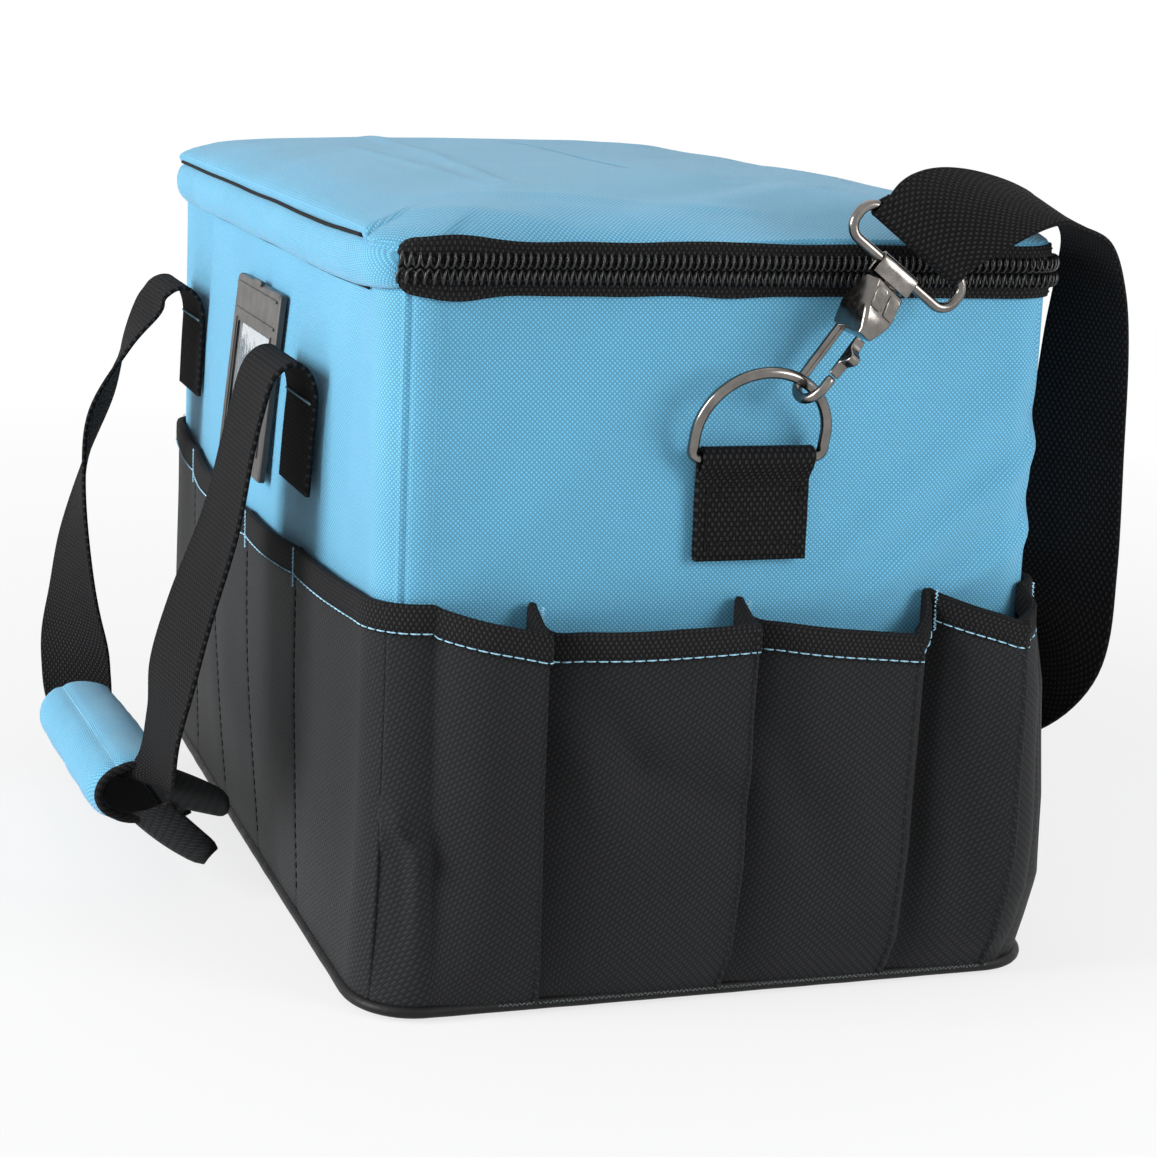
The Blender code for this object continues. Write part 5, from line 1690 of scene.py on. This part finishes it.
left_far_leg = (
    (-0.1334, 0.130, 0.1985, (0.00, 1.0, 0.00), 0.048),
    (-0.1352, 0.130, 0.1962, (0.00, 1.0, 0.00), 0.047),
    (-0.1380, 0.130, 0.1905, (-0.04, 1.0, 0.00), 0.047),
    (-0.1465, 0.130, 0.1765, (0.12, 0.99, 0.00), 0.048),
    (-0.1570, 0.130, 0.1510, (0.32, 0.94, 0.00), 0.050),
    (-0.1640, 0.130, 0.1240, (0.16, 0.99, 0.00), 0.050),
    (-0.1690, 0.125, 0.0930, (-0.10, 0.99, 0.00), 0.050),
    (-0.1700, 0.121, 0.0640, (-0.34, 0.94, 0.00), 0.048),
    (-0.1712, 0.106, 0.0430, (-0.75, 0.65, 0.00), 0.034),
    (-0.1720, 0.086, 0.0320, (-0.97, 0.20, 0.00), 0.026),
    (-0.1720, 0.050, 0.0345, (-1.00, 0.00, 0.00), 0.024),
)


def side_face(way, y, z):
    """Where a side wall's face stands in X."""
    share = y / straight_y
    return way * (body_width / 2 + side_bow * bow_share(share) * swell(z))


def anchor_knots(way, y, reach):
    """Knots of a handle's sewn end: flat on the wall, then over in a round arch."""

    def wall(z):
        faces = [abs(side_face(way, y + side * handle_width / 2, z)) for side in (-1, 0, 1)]
        return max(faces) + fit_gap + handle_thickness / 2

    foot = wall(0.186)
    span = body_width / 2 + reach + 0.0006 - foot
    knots = [(wall(z), z) for z in (0.1560, 0.164, 0.172, 0.179, 0.186)]
    arch = ((0.03, 0.1915), (0.16, 0.1968), (0.40, 0.2004), (0.62, 0.2010), (0.84, 0.2000), (1.0, 0.1982))
    knots += [(foot + span * share, z) for share, z in arch]
    rows = spline([(x, z, 0.0) for x, z in knots], 3)
    made = []
    for x, z, _ in rows:
        width = 0.044 + 0.004 * min(max((z - 0.186) / 0.01, 0), 1)
        made.append((Vector((way * x, y, z)), Vector((0, 1, 0)), width))
    return made


class TOOLBAG_OT_handles(Operator):
    """Builds the two carry handles and the four sewn anchors that they hang from"""

    bl_idname = "tool_bag.handles"
    bl_label = "Carry handles"

    def execute(self, context):
        for side, way, reach in (("left", -1, left_pivot_reach), ("right", 1, right_pivot_reach)):
            for end, y in (("near", handle_near), ("far", handle_far)):
                name = f"{side}_{end}_anchor"
                knots = anchor_knots(way, y, reach)
                mesh = ribbon_mesh(f"{name}_webbing", knots, handle_thickness)
                add_piece(mesh, "webbing", "bag", [name])
                tack = []
                for i in range(41):
                    share = i / 40
                    x = abs(side_face(way, y, 0.1895)) + handle_thickness + 0.0022
                    spot = Vector((way * x, y - 0.0195 + 0.039 * share, 0.1868 + 0.0009 * (i % 2)))
                    tack.append((spot, Vector((way, 0, 0))))
                sew(f"{name}_bartack", [tack], "blue thread", "bag", 0.0012, 0.0001)

        legs = []
        for leg in (left_near_leg, left_far_leg):
            legs.append(smooth_knots([(Vector(row[:3]), row[3], row[4]) for row in leg], 9))
        path = legs[0]
        turned = [(p, Vector(w), d) for p, w, d in legs[1][::-1]]
        mesh = ribbon_mesh("left_handle_webbing", path + turned, handle_thickness)
        add_piece(mesh, "webbing", "left_carry_handle", ["left_handle"])

        pivot_x = body_width / 2 + right_pivot_reach
        hang_x = body_width / 2 + right_hang_reach
        drop = handle_crest - handle_hang_height
        turn = handle_width * 0.72
        legs = []
        for y, way in ((handle_near, -1), (handle_far, 1)):
            knots = [(Vector((pivot_x + 0.0004, y, handle_crest - 0.0023)), Vector((0, way, 0)), 0.048)]
            for out, fall in ((0.70, 0.05), (1.0, 0.16), (1.0, 0.42), (1.0, 0.58)):
                spot = Vector((pivot_x + (hang_x - pivot_x) * out, y, handle_crest - drop * fall))
                knots.append((spot, Vector((0, way, 0)), handle_width))
            for angle in (0, 22.5, 45, 67.5):
                a = math.radians(angle)
                spot = (y - way * turn * (1 - math.cos(a)), handle_hang_height + turn * (1 - math.sin(a)))
                ways = Vector((0, way * math.cos(a), -math.sin(a)))
                knots.append((Vector((hang_x, *spot)), ways, handle_width * (1 - angle / 300)))
            spot = Vector((hang_x, y - way * turn * 1.2, handle_hang_height))
            knots.append((spot, Vector((0, 0, -1)), handle_width * 0.72))
            legs.append(smooth_knots(knots, 8))
        mesh = ribbon_mesh("right_handle_webbing", legs[0] + legs[1][::-1], handle_thickness)
        add_piece(mesh, "webbing", "right_carry_handle", ["right_handle"])
        return {"FINISHED"}


# Padded grip wrap
grip_far_end = Vector((-0.1725, 0.085, 0.0305))
grip_near_end = Vector((-0.1710, -0.057, 0.0385))
grip_wrap_length = 0.142


def grip_point(radius_x, radius_z, angle, share):
    """A point of the wrap's oval, at a share of the way from its far end to its near end."""
    middle = grip_far_end.lerp(grip_near_end, share)
    return middle + Vector((radius_x * math.cos(angle), 0, radius_z * math.sin(angle)))


class TOOLBAG_OT_grip(Operator):
    """Builds the padded wrap of the left handle, its black inner face, piping and open flap"""

    bl_idname = "tool_bag.grip"
    bl_label = "Padded grip"

    def execute(self, context):
        start, end = math.radians(52), math.radians(312)
        seam = math.radians(118)
        angles = np.linspace(start, end, 49)
        rows, inner_rows = [], []
        for share in np.linspace(1, 0, 49):
            along, y = abs(share - 0.5) * 2, -share * grip_wrap_length
            ends_in = 1 - 0.10 * max(0.0, (along - 0.88) / 0.12) ** 2
            crown = 1 + 0.035 * (1 - along**2)
            row = []
            for a in angles:
                fold = -0.0008 * math.exp(-(((a - seam) / 0.10) ** 2))
                fold -= 0.0005 * math.exp(-(((a - 4.1) / 0.14) ** 2))
                round_it = a * 0.016
                soft = 0.0006 * uneven(round_it, y, 12.0, 0.022) + 0.0003 * uneven(round_it, y, 13.0, 0.009)
                size, full = fold + soft, ends_in * crown
                row.append(grip_point(0.0170 * full + size, 0.0130 * full + size, a, share))
            rows.append(row)
            inner_rows.append([grip_point(0.0135 * ends_in, 0.0095 * ends_in, a, share) for a in angles])
        points, inside = np.array(rows), np.array(inner_rows)
        edges = [
            np.stack([points[:, 0], inside[:, 0]], axis=1),
            np.stack([inside[:, -1], points[:, -1]], axis=1),
            np.stack([inside[0], points[0]], axis=0),
            np.stack([points[-1], inside[-1]], axis=0),
        ]
        mesh = joined("grip_wrap", [grid_mesh("part", sheet[::-1]) for sheet in (points, *edges)])
        wrap = add_piece(mesh, "canvas", "left_carry_handle", ["grip_pad"])
        mesh = grid_mesh("grip_wrap_lining", inside)
        add_piece(mesh, "pocket", "left_carry_handle")

        cords = []
        for index in (0, -1):
            cords.append(tube_mesh("cord", points[index] * 0.5 + inside[index] * 0.5, 0.0016, 10))
        for index in (0, -1):
            cords.append(tube_mesh("cord", points[:, index] * 0.6 + inside[:, index] * 0.4, 0.0014, 10))
        mesh = joined("grip_piping", cords)
        add_piece(mesh, "tape", "left_carry_handle")
        pairs = zip(points[:, 12], inside[:, 12])
        line = [(Vector(outer), Vector(outer - inner).normalized()) for outer, inner in pairs]
        sew("grip_seam", [line], "blue thread", "left_carry_handle", 0.0022, radius=0.00018)

        # the flap, open below the strap's side: black loop tape, stiff and a little curled
        rows = []
        for along in np.linspace(1, 0, 33):
            hinge = grip_point(0.0150, 0.0110, math.radians(-42), along)
            row = []
            for share in np.linspace(0, 1, 15):
                wide = 40 - 14 * max(along - 0.7, 0.0) / 0.3
                base = grip_point(0.01775, 0.01375, math.radians(-39 + wide * share), along)
                curl = 0.0012 * share * uneven(along * grip_wrap_length, share * 0.02, 15.0, 0.03)
                turned = Matrix.Rotation(math.radians(38), 3, "Y") @ (base - hinge)
                row.append(hinge + turned + Vector((curl, 0, 0)))
            rows.append(row)
        mesh = grid_mesh("grip_flap_cloth", rows)
        flap = add_piece(mesh, "pocket", "grip_wrap_flap", ["grip_flap"])
        thicken(flap, 0.0014)

        # two tongues of the flap's tape that flare out of the wrap's near end
        tongues = []
        for base, middle, tip in (
            (
                (Vector((-0.1640, -0.052, 0.0480)), Vector((-0.1600, -0.058, 0.0330))),
                (Vector((-0.1500, -0.061, 0.0450)), Vector((-0.1490, -0.064, 0.0315))),
                (Vector((-0.1392, -0.066, 0.0392)), Vector((-0.1400, -0.067, 0.0300))),
            ),
            (
                (Vector((-0.1735, -0.053, 0.0300)), Vector((-0.1600, -0.058, 0.0340))),
                (Vector((-0.1620, -0.061, 0.0190)), Vector((-0.1520, -0.064, 0.0280))),
                (Vector((-0.1490, -0.068, 0.0145)), Vector((-0.1440, -0.067, 0.0190))),
            ),
        ):
            rows = []
            for share in np.linspace(0, 1, 13):
                ends = []
                for k in (0, 1):
                    first = base[k].lerp(middle[k], share)
                    ends.append(first.lerp(middle[k].lerp(tip[k], share), share))
                round_off = 1 - 0.35 * max(0.0, (share - 0.85) / 0.15) ** 2
                row = []
                for across in np.linspace(0, 1, 9):
                    spot = ends[0].lerp(ends[1], 0.5 + (across - 0.5) * round_off)
                    row.append(spot + Vector((0, -0.0022 * math.sin(math.pi * across), 0)))
                rows.append(row)
            tongues.append(grid_mesh("tongue", rows))
        mesh = joined("grip_flap_tongues", tongues)
        tongue = add_piece(mesh, "pocket", "grip_wrap_flap")
        thicken(tongue, 0.0022)
        return {"FINISHED"}


# Label holder
label_centre = -0.012
label_bottom = 0.1485
label_height = 0.068
label_width = 0.076
label_border = 0.008
label_header = 0.016
label_half_thickness = 0.0013


class TOOLBAG_OT_label_holder(Operator):
    """Builds the moulded label holder with its grooved header, latch and window bead"""

    bl_idname = "tool_bag.label_holder"
    bl_label = "Label holder"

    def execute(self, context):
        y = label_centre
        low = Vector((side_face(-1, y, label_bottom), y, label_bottom))
        high = Vector((side_face(-1, y, label_bottom + label_height), y, label_bottom + label_height))
        middle = (low + high) / 2
        bulge = abs(side_face(-1, 0, middle.z) - middle.x)
        up = (high - low).normalized()
        out = Vector((-up.z, 0, up.x))
        spot = middle + out * (bulge + fit_gap + label_half_thickness)
        x_way, z_way = Vector((0, -1, 0)), Vector((0, -1, 0)).cross(up)
        place = Matrix.Translation(spot) @ Matrix((x_way, up, z_way)).transposed().to_4x4()
        side = 1 if z_way.dot(out) > 0 else -1
        half_w, half_h = label_width / 2, label_height / 2
        in_w, floor, head = half_w - label_border, -half_h + label_border, half_h - label_header

        outer = rounded_box(-half_w, half_w, -half_h, half_h, 0.0022)
        inner = rounded_box(-in_w, in_w, floor, head, 0.0014)
        thick = label_half_thickness
        levels = []
        for outline, inset, z in (
            (outer, 0.0, -thick),
            (outer, 0.0, thick * 0.45),
            (outer, 0.0007, thick),
            (inner, -0.0012, thick),
            (inner, -0.0005, thick * 0.6),
            (inner, 0.0, thick * 0.2),
            (inner, 0.0, -thick),
        ):
            ring = []
            for x, yy in outline:
                cx = x - math.copysign(inset, x) if abs(x) > 0.001 else x
                centre_y = (floor + head) / 2 if outline is inner else 0.0
                cy = yy - math.copysign(inset, yy - centre_y)
                ring.append(place @ Vector((cx, cy, z * side)))
            levels.append(ring)
        levels.append(levels[0])
        meshes = [grid_mesh("frame", levels, closed=True)]
        meshes[0].set_sharp_from_angle(angle=math.radians(30))
        # ribs beside the header's two grooves, a lip along its top and the latch's thumb notch
        for x0, x1, y0, y1, z1 in (
            (-half_w + 0.003, half_w - 0.003, head + 0.0026, head + 0.0036, 0.00062),
            (-half_w + 0.003, half_w - 0.003, half_h - 0.0036, half_h - 0.0026, 0.00062),
            (-0.006, 0.006, half_h - 0.0010, half_h + 0.0012, 0.0005),
            (-in_w - 0.0016, -in_w - 0.0006, floor, head, 0.0005),
            (in_w + 0.0006, in_w + 0.0016, floor, head, 0.0005),
        ):
            outline = rounded_box(x0, x1, y0, y1, min(x1 - x0, y1 - y0) * 0.42)
            meshes.append(slab_mesh("rib", outline, side * 0.0002, side * (thick + z1), place))
        mesh = joined("label_holder_frame", meshes)
        mesh.set_sharp_from_angle(angle=math.radians(35))
        holder = add_piece(mesh, "moulded", "bag", ["label_frame"])
        bevel(holder, 0.0002)
        dress("label_window", "window")
        return {"FINISHED"}


# Studio, with the camera that the photo was taken by
sensor_width = 36.0
photo_focal_share = 2600 / 1157
camera_place = (-0.311, -0.954, 0.323)
camera_heading, camera_down, camera_roll = math.radians(18.73), math.radians(12.55), math.radians(2.39)
lamp_aim = Vector((0, 0, 0.12))


def seen_by_eye(tree):
    """1 for what the camera sees, straight or through something glossy or clear, and 0 for its light."""
    rays = add_node(tree, "ShaderNodeLightPath").outputs
    seen = computed(tree, "ADD", rays["Is Camera Ray"], rays["Is Glossy Ray"])
    return computed(tree, "ADD", seen, rays["Is Transmission Ray"])


class TOOLBAG_OT_stage(Operator):
    """Sets the pale floor, the soft lamps and the camera"""

    bl_idname = "tool_bag.stage"
    bl_label = "Stage and camera"

    def execute(self, context):
        scene = context.scene
        scene.view_settings.view_transform = "Standard"
        studio = scene.tool_bag_studio

        mesh = bpy.data.meshes.new("studio_floor")
        corners = [(-4, -4, 0), (4, -4, 0), (4, 4, 0), (-4, 4, 0)]
        mesh.from_pydata(corners, [], [(0, 1, 2, 3)])
        floor = bpy.data.objects.new("studio_floor", mesh)
        scene.collection.objects.link(floor)
        grey = (0.86, 0.86, 0.86, 1.0)
        made, tree, shader = new_finish("paper_backdrop_white", Roughness=0.9, Base_Color=grey)
        # seen straight or in a gloss, the paper is its plain white with part of the bag's shadow
        place = add_node(tree, "ShaderNodeTexCoord").outputs["Object"]
        reach = add_node(tree, "ShaderNodeVectorMath", {0: place}, operation="LENGTH").outputs["Value"]
        plain = ranged(tree, reach, 0.3, 1.1, 0.74, 1.0)
        share = computed(tree, "MULTIPLY", seen_by_eye(tree), plain, use_clamp=True)
        white = add_node(tree, "ShaderNodeEmission", {"Color": (1, 1, 1, 1), "Strength": 1.0})
        sockets = {0: share, 1: shader.outputs[0], 2: white.outputs[0]}
        both = add_node(tree, "ShaderNodeMixShader", sockets)
        tree.links.new(both.outputs[0], tree.nodes["Material Output"].inputs["Surface"])
        mesh.materials.append(made)

        world = bpy.data.worlds.new("studio_world")
        scene.world = world
        world.use_nodes = True
        tree = world.node_tree
        back = tree.nodes["Background"]
        strength = ranged(tree, seen_by_eye(tree), 0.0, 1.0, studio.fill, 1.0)
        tree.links.new(strength, back.inputs["Strength"])
        back.inputs["Color"].default_value = (1, 1, 1, 1)

        for name, place, size, power in (
            ("key_lamp", (-1.9, -0.15, 0.75), 1.0, studio.key),
            ("front_lamp", (0.55, -0.78, 0.42), 0.4, studio.front),
            ("top_lamp", (0.2, 0.5, 1.9), 1.4, studio.top),
        ):
            light = bpy.data.lights.new(name, "AREA")
            light.size = size
            light.energy = power
            lamp = bpy.data.objects.new(name, light)
            scene.collection.objects.link(lamp)
            lamp.location = place
            lamp.rotation_euler = (lamp_aim - Vector(place)).to_track_quat("-Z", "Y").to_euler()

        data = bpy.data.cameras.new("photo_camera")
        data.sensor_width = sensor_width
        data.lens = sensor_width * photo_focal_share
        data.clip_start, data.clip_end = 0.05, 30.0
        camera = bpy.data.objects.new("photo_camera", data)
        scene.collection.objects.link(camera)
        level = Vector((math.sin(camera_heading), math.cos(camera_heading), 0))
        view = level * math.cos(camera_down) - Vector((0, 0, math.sin(camera_down)))
        aside = view.cross(Vector((0, 0, 1))).normalized()
        upward = aside.cross(view)
        side = aside * math.cos(camera_roll) + upward * math.sin(camera_roll)
        top = upward * math.cos(camera_roll) - aside * math.sin(camera_roll)
        turn = Matrix((side, top, -view)).transposed().to_4x4()
        camera.matrix_world = Matrix.Translation(camera_place) @ turn
        scene.camera = camera
        return {"FINISHED"}


class TOOLBAG_PT_panel(Panel):
    """Lists the bag's sizes, colours and pieces"""

    bl_idname = "TOOLBAG_PT_panel"
    bl_label = "Tool Bag"
    bl_space_type = "VIEW_3D"
    bl_region_type = "UI"
    bl_category = "Tool Bag"

    def draw(self, context):
        scene = context.scene
        for title, group in (
            ("Fabric", scene.tool_bag_fabric),
            ("Thread", scene.tool_bag_thread),
            ("Hardware", scene.tool_bag_hardware),
            ("Studio", scene.tool_bag_studio),
        ):
            box = self.layout.box()
            box.label(text=title)
            for key in group.__annotations__:
                box.prop(group, key)
        for maker in makers:
            self.layout.operator(maker.bl_idname)


makers = (
    TOOLBAG_OT_walls,
    TOOLBAG_OT_base,
    TOOLBAG_OT_pockets,
    TOOLBAG_OT_lid,
    TOOLBAG_OT_zipper,
    TOOLBAG_OT_rings,
    TOOLBAG_OT_hooks,
    TOOLBAG_OT_strap,
    TOOLBAG_OT_handles,
    TOOLBAG_OT_grip,
    TOOLBAG_OT_label_holder,
    TOOLBAG_OT_stage,
)
groups = {
    "tool_bag_fabric": ToolBagFabric,
    "tool_bag_thread": ToolBagThread,
    "tool_bag_hardware": ToolBagHardware,
    "tool_bag_studio": ToolBagStudio,
}


def register():
    for item in (*groups.values(), *makers, TOOLBAG_PT_panel):
        bpy.utils.register_class(item)
    for name, group in groups.items():
        setattr(bpy.types.Scene, name, PointerProperty(type=group))


def unregister():
    for name in groups:
        delattr(bpy.types.Scene, name)
    for item in (TOOLBAG_PT_panel, *reversed(makers), *groups.values()):
        bpy.utils.unregister_class(item)


def main():
    register()
    bpy.ops.tool_bag.walls()
    bpy.ops.tool_bag.base()
    bpy.ops.tool_bag.pockets()
    bpy.ops.tool_bag.lid()
    bpy.ops.tool_bag.zipper()
    bpy.ops.tool_bag.rings()
    bpy.ops.tool_bag.hooks()
    bpy.ops.tool_bag.strap()
    bpy.ops.tool_bag.handles()
    bpy.ops.tool_bag.grip()
    bpy.ops.tool_bag.label_holder()
    bpy.ops.tool_bag.stage()


if __name__ == "__main__":
    main()
